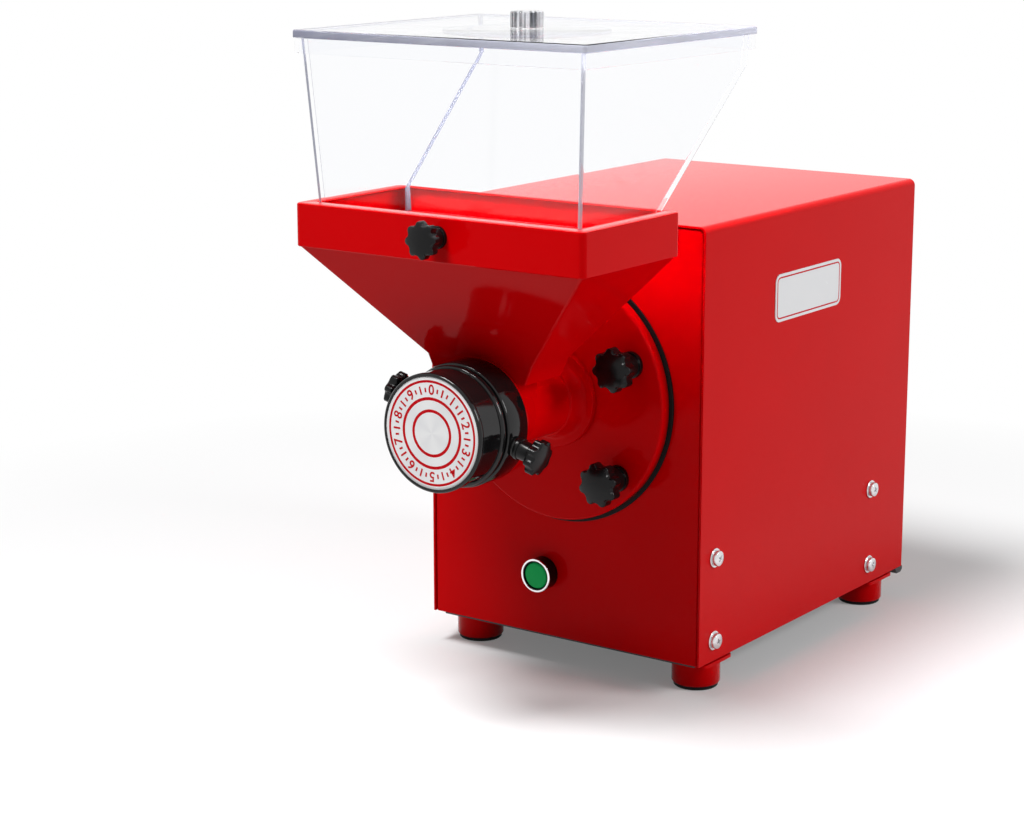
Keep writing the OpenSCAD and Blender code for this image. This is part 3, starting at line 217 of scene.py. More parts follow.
def carved(body, tool):
    """Cuts one shape out of another and gives back what is left."""
    pair = []
    for name, shape in (("carved_body", body), ("carving_tool", tool)):
        mesh = bpy.data.meshes.new(name)
        shape.to_mesh(mesh)
        shape.free()
        made = bpy.data.objects.new(name, mesh)
        bpy.context.scene.collection.objects.link(made)
        pair.append(made)
    cut = pair[0].modifiers.new("cut", "BOOLEAN")
    cut.object = pair[1]
    cut.solver = "EXACT"
    bpy.context.view_layer.update()
    result = pair[0].evaluated_get(bpy.context.evaluated_depsgraph_get())
    left = bmesh.new()
    left.from_mesh(result.to_mesh())
    result.to_mesh_clear()
    for made in pair:
        bpy.data.meshes.remove(made.data)
    return left


def joined(parts):
    """Puts several shapes into one."""
    whole = bmesh.new()
    for part in parts:
        mesh = bpy.data.meshes.new("part")
        part.to_mesh(mesh)
        part.free()
        whole.from_mesh(mesh)
        bpy.data.meshes.remove(mesh)
    return whole


def edges_along(shape, axis, longer_than=mm):
    """The edges of a shape that run along an axis, 0, 1 or 2, for more than a length."""
    return [e for e in shape.edges if abs(e.verts[0].co[axis] - e.verts[1].co[axis]) > longer_than]


def end_tray(node, open_side):
    """A tray open at the bottom and towards the inside of the machine, with rounded top corners."""
    low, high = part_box(node)
    tray = block(low, high)
    gone = [f for f in tray.faces if f.normal.z < -0.5 or f.normal.y * open_side > 0.5]
    bmesh.ops.delete(tray, geom=gone, context="FACES")
    corners = [e for e in edges_along(tray, 1) if min(v.co.z for v in e.verts) > high.z - mm]
    round_edges(tray, corners, cover_bend - sheet, 8)
    return tray


panel = piece("front_panel_tray", end_tray("front_panel", 1), red_enamel, edge=0.8 * mm)
of_sheet(panel, sheet)
seat(panel, "housing", "red_paint", "front_panel")

louvre_length = 74 * mm
louvre_height = 4.5 * mm
louvre_pitch = 13 * mm
louvre_count = 9
louvre_x = 56 * mm
louvres_start = 40 * mm
low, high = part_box("rear_panel")
louvre_z = (low.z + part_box("cover")[1].z) / 2 - louvres_start
slots = []
for side in (-1, 1):
    for row in range(louvre_count):
        middle = Vector((side * louvre_x, high.y, louvre_z + row * louvre_pitch))
        half = Vector((louvre_length / 2, 5 * sheet, louvre_height / 2))
        slot = block(middle - half, middle + half)
        round_edges(slot, edges_along(slot, 1), louvre_height / 2 - 0.05 * mm, 5)
        slots.append(slot)
rear_tray = end_tray("rear_panel", -1)
bmesh.ops.solidify(rear_tray, geom=rear_tray.faces, thickness=sheet)
bmesh.ops.recalc_face_normals(rear_tray, faces=rear_tray.faces)
rear = piece("rear_panel_tray", carved(rear_tray, joined(slots)), red_enamel, edge=0.3 * mm, steps=2)
seat(rear, "housing", "red_paint", "rear_panel")

# ---- Base pan and frame posts ----
# The floor of the machine and its four corner posts are bent from thicker steel with a dark
# powder coat. Only the pan's thick rear edge and its underside ever show.


def dress(node, finish):
    """Gives a plain node that stays in view its finish."""
    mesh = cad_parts[node].data
    mesh.materials.clear()
    mesh.materials.append(finish.material)


powder_coat = Finish("dark_powder_coat", Specular_IOR_Level=0.4)
powder_coat.colour(powder_coat.grain(12 * mm, 4), (0.030, 0.031, 0.034), (0.048, 0.049, 0.053))
powder_coat.roughness(0.42 + 0.16 * powder_coat.grain(3 * mm, 3))
powder_coat.relief(powder_coat.grain(0.7 * mm, 2), 0.06 * mm)
for node in ("base_pan", "frame_posts", "fan_cover", "motor_bracket"):
    dress(node, powder_coat)

# ---- Feet ----
# Each foot is a short red tube welded to a square plate, which is bolted under the base pan.
# A black rubber pad is pressed into the tube and stands on the worktop.


def turned(profile, place, steps=96):
    """Turns a profile of (radius, height) points in millimetres round the local Z axis."""
    shape = bmesh.new()
    verts = [shape.verts.new((r * mm, 0, h * mm)) for r, h in profile]
    pairs = list(zip(verts, verts[1:]))
    if profile[0][0] and profile[-1][0]:
        pairs.append((verts[-1], verts[0]))
    edges = [shape.edges.new(pair) for pair in pairs]
    bmesh.ops.spin(shape, geom=verts + edges, cent=(0, 0, 0), axis=(0, 0, 1), dvec=(0, 0, 0),
                   angle=2 * pi, steps=steps, use_merge=True)
    bmesh.ops.remove_doubles(shape, verts=shape.verts, dist=0.002 * mm)
    bmesh.ops.recalc_face_normals(shape, faces=shape.faces)
    bmesh.ops.transform(shape, matrix=place, verts=shape.verts)
    return shape


rubber = Finish("black_rubber", Specular_IOR_Level=0.15)
rubber.colour(rubber.grain(9 * mm, 4), (0.004, 0.004, 0.004), (0.009, 0.009, 0.009))
rubber.roughness(0.55 + 0.2 * rubber.grain(2 * mm, 3))
rubber.relief(rubber.grain(0.5 * mm, 2), 0.05 * mm)

foot_plate = 44 * mm
foot_plate_t = 3 * mm
foot_corner = 4 * mm
foot_steps = 64
foot_tube_profile = [
    (9, 3), (18.6, 3), (19.6, 3.7), (20.2, 4.8), (20.2, 20.6), (20.6, 21.6), (21.4, 22), (9, 22),
]
foot_pad_profile = [(0, 0), (17.6, 0), (18.5, 0.9), (18.6, 3), (8.8, 3), (8.8, 7), (0, 7)]
low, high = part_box("feet")
plates, tubes, pads = [], [], []
for x in (low.x + foot_plate / 2, high.x - foot_plate / 2):
    for y in (low.y + foot_plate / 2, high.y - foot_plate / 2):
        plate = block(Vector((x - foot_plate / 2, y - foot_plate / 2, high.z - foot_plate_t)),
                      Vector((x + foot_plate / 2, y + foot_plate / 2, high.z)))
        round_edges(plate, edges_along(plate, 2), foot_corner, 5)
        plates.append(plate)
        foot_middle = Matrix.Translation((x, y, 0))
        tubes.append(turned(foot_tube_profile, foot_middle, foot_steps))
        pads.append(turned(foot_pad_profile, foot_middle, foot_steps))
feet = piece("round_feet", joined(plates + tubes), red_enamel, edge=0.35 * mm)
seat(feet, "housing", "red_paint", "feet")
foot_pads = piece("rubber_pads", joined(pads), rubber, edge=0.25 * mm)
seat(foot_pads, "housing", "rubber", "foot_pads")

# ---- Cover screws ----
# Eight pan-head screws with a cross recess hold the cover to the pan and posts, each over a thin
# flat washer. Both are bright zinc-plated steel with fine turning marks.


def bright_metal(name, light, dark, roughness, marks=0.004 * mm):
    """Machined steel: grey reflections broken by fine marks and faint stains."""
    steel = Finish(name, Metallic=1.0)
    steel.colour(steel.grain(6 * mm, 4), dark, light)
    steel.roughness(roughness + 0.12 * steel.grain(2 * mm, 4))
    steel.relief(steel.grain(0.35 * mm, 2, (1, 1, 6)), marks)
    return steel


plated_steel = bright_metal("plated_steel", (0.80, 0.80, 0.81), (0.62, 0.62, 0.64), 0.16)

head_profile = [(0, 0), (6.1, 0), (6.4, 0.3), (6.4, 3.0), (6.1, 3.65), (5.4, 4.05), (3.5, 4.3), (0, 4.34)]
washer_low, washer_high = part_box("cover_washers")
washer_r = 8 * mm
washer_t = 1.4 * mm
washer_profile = [(3.4, 0), (7.7, 0), (8, 0.3), (8, 1.1), (7.7, 1.4), (3.4, 1.4)]
screw_steps = 48
# The recess is cut from just over the crown of the head
recess_reach = 3.2
recess_width = 0.75
recess_depth = 2.2
recess_top = 4.4


def cross_recess(reach, width, depth, top):
    """The cross of a Phillips driver, narrowing towards its floor."""
    arms = []
    for long, wide in ((reach, width), (width, reach)):
        arm = block(Vector((-long, -wide, top - depth)) * mm, Vector((long, wide, top + 1)) * mm)
        floor = [v for v in arm.verts if v.co.z < (top - depth / 2) * mm]
        bmesh.ops.scale(arm, vec=(0.6, 0.6, 1), verts=floor)
        arms.append(arm)
    return arms


heads, washers = [], []
for side in (-1, 1):
    for y in (washer_low.y + washer_r, washer_high.y - washer_r):
        for z in (washer_low.z + washer_r, washer_high.z - washer_r):
            outwards = Matrix.Translation((side * (washer_high.x - washer_t), y, z))
            outwards = outwards @ Matrix.Rotation(side * pi / 2, 4, "Y")
            # Each screw was left at an angle of its own, which depends on its place
            turn = Matrix.Rotation(0.4 + 1.9 * y / washer_low.y + z * 31, 4, "Z")
            head = turned(head_profile, Matrix.Identity(4), screw_steps)
            for arm in cross_recess(recess_reach, recess_width, recess_depth, recess_top):
                head = carved(head, arm)
            place = outwards @ Matrix.Translation((0, 0, washer_t)) @ turn
            bmesh.ops.transform(head, matrix=place, verts=head.verts)
            heads.append(head)
            washers.append(turned(washer_profile, outwards, screw_steps))
screws = piece("cross_head_screws", joined(heads), plated_steel, edge=0.12 * mm, steps=2)
seat(screws, "housing", "stainless_steel", "cover_screws")
rings = piece("flat_washers", joined(washers), plated_steel)
seat(rings, "housing", "stainless_steel", "cover_washers")

# ---- Side plate ----
# A plain plate of white enamelled aluminium with rounded corners is glued to the right side.
# One printed red line follows its edge.

white_enamel = Finish("white_enamel", Specular_IOR_Level=0.4)
white_enamel.colour(white_enamel.grain(30 * mm, 3), (0.83, 0.84, 0.86), (0.88, 0.885, 0.895))
white_enamel.roughness(0.20 + 0.10 * white_enamel.grain(8 * mm, 3))
white_enamel.relief(white_enamel.grain(1.5 * mm, 2), 0.008 * mm)

print_red = Finish("printed_red", Specular_IOR_Level=0.1)
print_red.colour(print_red.grain(4 * mm, 4), (0.55, 0.0, 0.004), (0.66, 0.0, 0.008))
print_red.roughness(0.28 + 0.1 * print_red.grain(2 * mm, 3))

plate_radius = 7 * mm
plate_margin = 2.4 * mm
plate_line = 1.3 * mm
low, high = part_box("badge_plate")
badge = block(low, high)
round_edges(badge, edges_along(badge, 0, 0.1 * mm), plate_radius, 8)
badge.faces.ensure_lookup_table()
face = max(badge.faces, key=lambda f: f.calc_center_median().x)
bmesh.ops.inset_region(badge, faces=[face], thickness=plate_margin, use_even_offset=True)
line = bmesh.ops.inset_region(badge, faces=[face], thickness=plate_line, use_even_offset=True)
for ring in line["faces"]:
    ring.material_index = 1
side_plate = piece("side_plate", badge, white_enamel, print_red, edge=0.2 * mm)
seat(side_plate, "housing", "white_enamel", "badge_plate")

# ---- Push button ----
# A standard 22 mm push button: black moulded body, a thin chrome ring pressed on its rim, and a
# green cap that travels 3 mm. Nut, contact block and wiring parts sit behind the panel.

black_moulding = Finish("black_moulding", Specular_IOR_Level=0.2)
black_moulding.colour(black_moulding.grain(15 * mm, 3), (0.0025, 0.0025, 0.0028), (0.006, 0.006, 0.0065))
black_moulding.roughness(0.15 + 0.12 * black_moulding.grain(6 * mm, 4))
black_moulding.relief(black_moulding.grain(0.45 * mm, 2), 0.012 * mm)

green_moulding = Finish("green_moulding", Specular_IOR_Level=0.15)
green_moulding.colour(green_moulding.grain(9 * mm, 3), (0.0, 0.50, 0.105), (0.0, 0.57, 0.13))
green_moulding.roughness(0.34 + 0.1 * green_moulding.grain(3 * mm, 3))
green_moulding.relief(green_moulding.grain(0.5 * mm, 2), 0.008 * mm)

chrome = bright_metal("chrome_plate", (0.90, 0.90, 0.92), (0.84, 0.84, 0.86), 0.05, 0.0008 * mm)

panel_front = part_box("front_panel")[0].y
button_low, button_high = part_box("button_bezel")
at_button = Matrix.Translation(((button_low.x + button_high.x) / 2, panel_front,
                                (button_low.z + button_high.z) / 2)) @ Matrix.Rotation(pi / 2, 4, "X")
button_reach = (panel_front - button_low.y) / mm
body_profile = [
    (10.9, -22), (10.9, 0), (13.4, 0), (13.9, 0.5), (13.9, button_reach - 1.6), (12.6, button_reach - 1.6),
    (12.4, button_reach - 0.5), (11.9, button_reach - 0.5), (11.7, button_reach - 1.2), (11.7, 3),
    (8.9, 3), (8.9, -22),
]
button_body = piece("button_barrel", turned(body_profile, at_button, 72), black_moulding, edge=0.25 * mm)
seat(button_body, "housing", "black_plastic", "button_body")
bezel_profile = [
    (12.5, button_reach - 1.6), (14.2, button_reach - 1.6), (14.5, button_reach - 1.2),
    (14.4, button_reach - 0.6), (13.9, button_reach - 0.15), (13.3, button_reach), (12.8, button_reach - 0.2),
    (12.5, button_reach - 0.6),
]
bezel = piece("button_ring", turned(bezel_profile, at_button, 96), chrome, angle=70)
seat(bezel, "housing", "chrome", "button_bezel")
cap_front = button_reach - 0.9
cap_back = 6.3
cap_profile = [
    (0, cap_back), (11.2, cap_back), (11.2, cap_front - 1.4), (11.0, cap_front - 0.8),
    (10.4, cap_front - 0.3), (9.4, cap_front), (8.2, cap_front + 0.05), (4.5, cap_front + 0.25),
    (0, cap_front + 0.3),
]
button_cap = piece("green_cap", turned(cap_profile, at_button, 96), green_moulding, angle=50)
seat(button_cap, "button", "green_plastic", "button_cap")
for node in ("contact_block", "cord_gland"):
    dress(node, black_moulding)
for node in ("capacitor", "terminal_block"):
    dress(node, white_enamel)

# ---- Motor and gearbox ----
# Inside, a finned motor lies under the shaft and drives it through one pair of steel spur gears
# in a cast aluminium case. The castings keep the sandy skin that they left the mould with.

cast_metal = Finish("cast_aluminium", Metallic=1.0)
cast_metal.colour(cast_metal.grain(10 * mm, 5), (0.30, 0.31, 0.32), (0.48, 0.49, 0.50))
cast_metal.roughness(0.42 + 0.2 * cast_metal.grain(4 * mm, 4))
cast_metal.relief(cast_metal.grain(0.9 * mm, 3), 0.08 * mm)
for node in ("bearing_housing", "gear_case", "gear_cover", "motor_frame", "motor_bells"):
    dress(node, cast_metal)

gear_steel = bright_metal("gear_steel", (0.42, 0.42, 0.44), (0.30, 0.30, 0.32), 0.28)
ground_steel = bright_metal("ground_steel", (0.62, 0.62, 0.64), (0.50, 0.50, 0.52), 0.18)
for node in ("large_gear", "pinion", "rotor"):
    dress(node, gear_steel)
for node in ("drive_shaft", "front_bearing", "flange_studs", "adjuster_pusher", "thrust_ball"):
    dress(node, ground_steel)
dress("cooling_fan", black_moulding)

# ---- Mounting plate ----
# The grinding unit hangs on a thick round plate, which four studs clamp to the panel over a
# black rubber gasket that stands out 3 mm past the plate.

plate_low, plate_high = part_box("flange_plate")
axis_z = (plate_low.z + plate_high.z) / 2


def on_axis(distance):
    """Local Z points out of the machine along the head's axis, this far in front of the panel."""
    return Matrix.Translation((0, panel_front - distance * mm, axis_z)) @ Matrix.Rotation(pi / 2, 4, "X")


gasket = turned([(20.5, 0), (107.9, 0), (107.9, 2), (20.5, 2)], on_axis(0), 160)
gasket = piece("plate_gasket", gasket, rubber, edge=0.4 * mm)
seat(gasket, "housing", "rubber", "flange_gasket")
round_plate = turned([
    (30, 0), (103.9, 0), (104.5, 0.6), (104.5, 7.6), (104.32, 8.52), (103.8, 9.3), (103.02, 9.82),
    (102.1, 10), (30, 10),
], on_axis(2), 192)
round_plate = piece("mounting_plate", round_plate, red_enamel, edge=0.2 * mm, steps=2, angle=50)
seat(round_plate, "housing", "red_paint", "flange_plate")

# ---- Feed tube ----
# The feed tube is one casting: a foot flange, a flared root that ends in a bead, the plain tube
# with a step, and a wide flange that carries the head. A square throat rises to the funnel.

foot_r = 41.5
tube_r = 29
bead_r = 30.6
step_r = 30
end_r = 49.1
tube_profile = [
    (21, 0), (foot_r - 1, 0), (foot_r, 1), (foot_r, 4.4), (foot_r - 0.4, 5.2), (foot_r - 1.2, 5.5),
    (tube_r + 7.4, 5.6), (tube_r + 5.4, 6.4), (tube_r + 4, 8.2), (bead_r + 0.5, 14.8), (bead_r, 16.5),
    (bead_r, 19.2), (bead_r - 0.4, 19.9), (tube_r, 20.7), (tube_r, 69), (step_r - 0.3, 69.4), (step_r, 70),
    (step_r, 95), (step_r + 0.4, 95.7), (step_r + 2, 96), (step_r + 2, 104.1), (step_r + 3, 104.8),
    (end_r - 0.6, 104.8), (end_r, 105.4), (end_r, 107), (21, 107),
]
throat_half = Vector((26, 22, 0)) * mm
throat_wall = 4
throat_middle = Vector((0, panel_front - 93.5 * mm, axis_z))
throat_rise = Vector((0, 0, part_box("hopper_funnel")[0].z - axis_z))
throat = block(throat_middle - throat_half, throat_middle + throat_half + throat_rise)
round_edges(throat, edges_along(throat, 2), 4 * mm, 5)
tube = joined([turned(tube_profile, on_axis(12), 144), throat])
tube = piece("feed_tube_casting", tube, red_enamel, edge=0.3 * mm, steps=2, angle=40)
seat(tube, "housing", "red_paint", "feed_tube")
dress("shaft_seal", rubber)

# ---- Star knobs ----
# Seven black star grips, four on the mounting plate, two on the head and one on the funnel. Each
# is moulded round its thread: a base collar, a neck, and a crowned head with eight round lobes.

lobes = 8
knob_steps = 192


def star_knob(size, height, place):
    """A star grip that stands on the local XY plane. size is its width over the lobes."""
    half = size / 2
    lobe = 0.21 * half
    reach = half - lobe
    valley = 0.83 * half
    step = pi / lobes
    hollow = ((valley ** 2 + reach ** 2 - 2 * reach * valley * cos(step) - lobe ** 2)
              / (2 * (lobe - valley + reach * cos(step))))

    def outline(bearing):
        """Distance of the lobed outline from the middle: round lobes joined by round hollows."""
        off = abs((bearing + step) % (2 * step) - step)
        behind = valley + hollow
        touch = atan2(behind * sin(step), behind * cos(step) - reach)
        edge = Vector((reach + lobe * cos(touch), lobe * sin(touch)))
        if off < atan2(edge.y, edge.x):
            return reach * cos(off) + sqrt(lobe ** 2 - (reach * sin(off)) ** 2)
        off = step - off
        return behind * cos(off) - sqrt(hollow ** 2 - (behind * sin(off)) ** 2)

    # Each level: its height, its radius as a plain circle and its share of the lobed outline, and
    # how far it is a circle. The levels of the crown take their height from their radius.
    crown = 0.10 * height
    eased = 0.05 * half
    hub = [
        (0, 0.60), (0.012, 0.615), (0.11, 0.615), (0.13, 0.60), (0.138, 0.545), (0.145, 0.54), (0.55, 0.54),
    ]
    flutes = [
        (0.555, 0.62, 0.9), (0.56, 0.72, 0.5), (0.575, 0.84, 0.15), (0.60, 0.94, 0.0), (0.635, 1.0, 0.0),
    ]
    dome = [(0.90, 0.05), (0.84, 0.15), (0.76, 0.4), (0.66, 0.8), (0.5, 1), (0.25, 1), (0.02, 1)]
    shape = bmesh.new()
    ring = bmesh.ops.create_circle(shape, segments=knob_steps, radius=half * mm)["verts"]
    bearing = {v: atan2(v.co.y, v.co.x) for v in ring}
    edges = list({e for v in ring for e in v.link_edges})
    levels = [(up * height, [radius * half] * 2, 1) for up, radius in hub]
    levels += [(up * height, [radius * half, radius], roundness) for up, radius, roundness in flutes]
    for turn in (0, 0.3, 0.6, 0.85, 1.0):
        sink = eased * (1 - cos(turn * pi / 2))
        levels.append((height - crown - eased * (1 - sin(turn * pi / 2)), [half, 1 - sink / half], 0))
    levels += [(None, [half * radius, radius], roundness) for radius, roundness in dome]
    for count, (up, (plain, share), roundness) in enumerate(levels):
        if count:
            made = bmesh.ops.extrude_edge_only(shape, edges=edges)["geom"]
            ring = [v for v in made if isinstance(v, bmesh.types.BMVert)]
            bearing.update({v: atan2(v.co.y, v.co.x) for v in ring})
            edges = [e for e in made
                     if isinstance(e, bmesh.types.BMEdge) and all(v in ring for v in e.verts)]
        for vert in ring:
            angle = bearing[vert]
            radius = roundness * plain + (1 - roundness) * outline(angle) * share
            rise = up if up is not None else height - crown * (radius / half) ** 2
            vert.co = Vector((cos(angle) * radius, sin(angle) * radius, rise)) * mm
    bmesh.ops.holes_fill(shape, edges=shape.edges)
    bmesh.ops.remove_doubles(shape, verts=shape.verts, dist=0.002 * mm)
    bmesh.ops.recalc_face_normals(shape, faces=shape.faces)
    bmesh.ops.transform(shape, matrix=place, verts=shape.verts)
    return shape


knob_size = 36
knob_height = 34
small_size = 29
small_height = 24.5
knob_turns = {"upper_right": 0.12, "lower_right": 0.30, "upper_left": 0.05, "lower_left": 0.20}
for corner, turn in knob_turns.items():
    node = "flange_knob_" + corner
    low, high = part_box(node)
    middle = (low + high) / 2
    place = Matrix.Translation((middle.x, high.y, middle.z)) @ Matrix.Rotation(pi / 2, 4, "X")
    grip = star_knob(knob_size, knob_height, place @ Matrix.Rotation(turn, 4, "Z"))
    seat(piece("star_grip_" + corner, grip, black_moulding), "knob_" + corner, "black_plastic", node)

low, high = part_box("hopper_knob")
collar_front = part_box("hopper_funnel")[0].y
place = Matrix.Translation(((low.x + high.x) / 2, collar_front, (low.z + high.z) / 2))
place = place @ Matrix.Rotation(pi / 2, 4, "X")
grip = star_knob(small_size, small_height, place @ Matrix.Rotation(0.1, 4, "Z"))
stud_profile = [(0, -9), (3, -9), (3, 1), (0, 1)]
stud = turned(stud_profile, place, 32)
funnel_grip = piece("star_grip_funnel", joined([grip, stud]), black_moulding)
seat(funnel_grip, "hopper_clamp", "black_plastic", "hopper_knob")

clamp_tilt = radians(15)
clamp_start = 51.5
clamp_distance = 132.25


def clamp_axis(side):
    """Local Z points out of the head along the thread of its right (1) or left (-1) clamping knob."""
    tilt = -clamp_tilt if side > 0 else pi - clamp_tilt
    return on_axis(clamp_distance) @ Matrix.Rotation(tilt, 4, "Z") @ Matrix.Rotation(pi / 2, 4, "Y")


for side, name in ((1, "right"), (-1, "left")):
    place = clamp_axis(side) @ Matrix.Translation((0, 0, clamp_start * mm))
    grip = star_knob(small_size, small_height, place @ Matrix.Rotation(0.2, 4, "Z"))
    stud = turned(stud_profile, place, 32)
    clamp = piece("star_grip_clamp_" + name, joined([grip, stud]), black_moulding)
    seat(clamp, "clamp_" + name, "black_plastic", "clamp_knob_" + name)

# ---- Grinding head ----
# Three black enamelled rings screw together over the burrs: the burr housing with a boss for each
# clamping knob, a rounded locking ring, and the outlet sleeve with its slot underneath.


head_enamel = enamel("black_enamel", (0.0075, 0.0070, 0.0075), (0.0045, 0.0042, 0.0045), 0.02 * mm)
head_enamel.feed(head_enamel.shader.inputs["Specular IOR Level"], 0.32)
head_enamel.feed(head_enamel.shader.inputs["Specular Tint"], (1.0, 1.0, 1.0))

head_start = 119
housing_r = 49.5
bore_r = 43.5
housing_length = 26.5
housing_profile = [
    (tube_r + 0.3, 0), (housing_r - 1.2, 0), (housing_r - 0.3, 0.3), (housing_r, 1.2),
    (housing_r, housing_length - 2.6), (housing_r - 0.3, housing_length - 1.6),
    (housing_r - 1.1, housing_length - 1.1), (46.5, housing_length - 1), (46.5, housing_length),
    (bore_r, housing_length), (bore_r, 6), (tube_r + 0.3, 6),
]
boss_profile = [(3.05, 46), (8.1, 46), (8.1, 50.6), (7.8, 51.2), (7.2, 51.45), (3.05, 51.45)]
bosses = [turned(boss_profile, clamp_axis(side), 48) for side in (1, -1)]
housing = joined([turned(housing_profile, on_axis(head_start), 160)] + bosses)
housing = piece("burr_housing_ring", housing, head_enamel, edge=0.2 * mm, steps=2, angle=50)
seat(housing, "housing", "black_enamel", "burr_housing")

lock_start = head_start + housing_length
lock_profile = [
    (42.5, 0), (46.6, 0), (47.4, 0.25), (48.0, 0.9), (48.3, 1.9), (48.3, 3.4), (48.0, 4.5), (47.3, 5.2),
    (46.6, 5.45), (42.5, 5.45),
]
lock = piece("locking_ring", turned(lock_profile, on_axis(lock_start), 160), head_enamel, angle=50)
seat(lock, "housing", "black_enamel", "lock_ring")

outlet_start = 151
outlet_length = 21.5
outlet_profile = [(42.5, 0), (46.5, 0), (46.5, outlet_length), (42.5, outlet_length)]
slot_half = 30
sleeve = turned(outlet_profile, on_axis(outlet_start), 160)
mouth = block(Vector((-slot_half, 2, -60)) * mm, Vector((slot_half, 17, -25)) * mm)
lengthwise = Matrix.Translation((0, panel_front - outlet_start * mm, axis_z)) @ Matrix.Scale(-1, 4, (0, 1, 0))
bmesh.ops.transform(mouth, matrix=lengthwise, verts=mouth.verts)
bmesh.ops.recalc_face_normals(mouth, faces=mouth.faces)
round_edges(mouth, edges_along(mouth, 2), 2.5 * mm, 5)
outlet = piece("outlet_sleeve", carved(sleeve, mouth), head_enamel, edge=0.5 * mm, angle=50)
seat(outlet, "housing", "black_enamel", "outlet_ring")

burr_steel = bright_metal("burr_steel", (0.56, 0.56, 0.57), (0.40, 0.40, 0.42), 0.30, 0.02 * mm)
for node in ("fixed_burr", "rotating_burr"):
    dress(node, burr_steel)
for node in ("burr_nut", "feed_screw"):
    dress(node, ground_steel)

# ---- Adjusting dial ----
# A black cap with a raised rim turns in the outlet sleeve to set the gap between the burrs. A
# white plate in it carries a printed scale: three red rings, numbers, and ticks between them.

dial_start = 172.5
dial_r = 47
dial_t = 5
disc_r = 44.2
dial_profile = [
    (10, -3.4), (10, 0.3), (39.5, 0.3), (39.5, -4), (42.4, -4), (42.4, 0.2), (dial_r - 0.8, 0.2),
    (dial_r - 0.2, 0.5), (dial_r, 1.1), (dial_r, dial_t - 1.7), (dial_r - 0.25, dial_t - 0.8),
    (dial_r - 0.85, dial_t - 0.2), (dial_r - 1.5, dial_t), (disc_r + 0.7, dial_t),
    (disc_r + 0.2, dial_t - 0.3),
    (disc_r + 0.1, dial_t - 1.6), (0, dial_t - 1.6), (0, dial_t - 2.8), (5.2, dial_t - 2.8), (5.2, -3.4),
]
dial = piece("dial_cap_rim", turned(dial_profile, on_axis(dial_start), 160), head_enamel, angle=50)
seat(dial, "dial", "black_enamel", "dial_cap")

disc_front = 176.9
dial_middle = Vector((0, panel_front - disc_front * mm, axis_z))
dial_white = Finish("white_plate_painted_sheen", Specular_IOR_Level=0.45)
spot = dial_white.node("ShaderNodeTexCoord", {}, {}, "Object")
spot = dial_white.node("ShaderNodeMapping", {}, {"Vector": spot, "Location": -dial_middle})
spot = dial_white.node("ShaderNodeMapping", {}, {"Vector": spot, "Rotation": (-pi / 2, 0, 0)})
# Bright and dark sectors round the plate's middle are a painted sheen, like light on brushed metal
sweep = dial_white.node("ShaderNodeTexGradient", {"gradient_type": "RADIAL"}, {"Vector": spot}, 1)
painted_sheen = dial_white.node("ShaderNodeMath", {"operation": "SINE"}, {0: sweep * (8 * pi) + 0.7})
dial_white.colour(0.5 + 0.5 * painted_sheen, (0.90, 0.905, 0.92), (0.97, 0.975, 0.98))
dial_white.roughness(0.26 + 0.12 * dial_white.grain(5 * mm, 3))
dial_white.relief(dial_white.grain(0.5 * mm, 2), 0.006 * mm)

# Printed rings as (inner, outer) parts of the plate's radius
printed_rings = [(0.37, 0.425), (0.585, 0.64), (0.895, 0.94)]
disc_stops = [0] + [part * disc_r for ring in printed_rings for part in ring] + [disc_r - 0.25]
disc_profile = [(r, 0) for r in disc_stops] + [(disc_r, -0.25), (disc_r, -1), (0, -1)]
disc = turned(disc_profile, on_axis(disc_front), 160)
for face in disc.faces:
    reach = sum((v.co - dial_middle).length for v in face.verts) / len(face.verts) / mm / disc_r
    facing = face.normal.y < -0.9
    face.material_index = int(facing and any(inner < reach < outer for inner, outer in printed_rings))
disc = piece("dial_plate", disc, dial_white, print_red, angle=50)
seat(disc, "dial", "white_enamel", "dial_disc")

print_height = 0.06
number_radius = 0.765 * disc_r
number_size = 11
number_swell = 0.2
number_count = 10
tick_half_width = 0.75
# Ticks between two numbers: part of the way to the next number, and length
ticks = ((0.27, 3.4), (0.5, 6.4), (0.73, 3.4))
marks = []
for count in range(number_count):
    angle = 2 * pi * count / number_count
    around = Matrix.Rotation(-angle, 4, "Z") @ Matrix.Translation((0, number_radius * mm, 0))
    text = bpy.data.curves.new("number", "FONT")
    text.body = str(count)
    text.size = number_size * mm
    text.align_x = "CENTER"
    text.align_y = "CENTER"
    text.extrude = print_height * mm
    text.offset = number_swell * mm
    letter = bpy.data.objects.new("number", text)
    bpy.context.scene.collection.objects.link(letter)
    bpy.context.view_layer.update()
    number = bmesh.new()
    number.from_mesh(letter.to_mesh())
    letter.to_mesh_clear()
    bpy.data.objects.remove(letter)
    bpy.data.curves.remove(text)
    bmesh.ops.transform(number, matrix=on_axis(disc_front) @ around, verts=number.verts)
    marks.append(number)
    for part, length in ticks:
        around = Matrix.Rotation(-angle - 2 * pi * part / number_count, 4, "Z")
        middle = Vector((0, number_radius, 0))
        half = Vector((tick_half_width, length / 2, print_height))
        tick = block((middle - half) * mm, (middle + half) * mm)
        bmesh.ops.transform(tick, matrix=on_axis(disc_front) @ around, verts=tick.verts)
        marks.append(tick)
scale = piece("dial_numbers", joined(marks), print_red)
seat(scale, "dial", "white_enamel")

# ---- Funnel ----
# The red funnel is folded and welded from sheet: a deep collar with a turned-in lip and a ledge,
# four sloping walls, and a small spout that stands on the feed tube's throat.


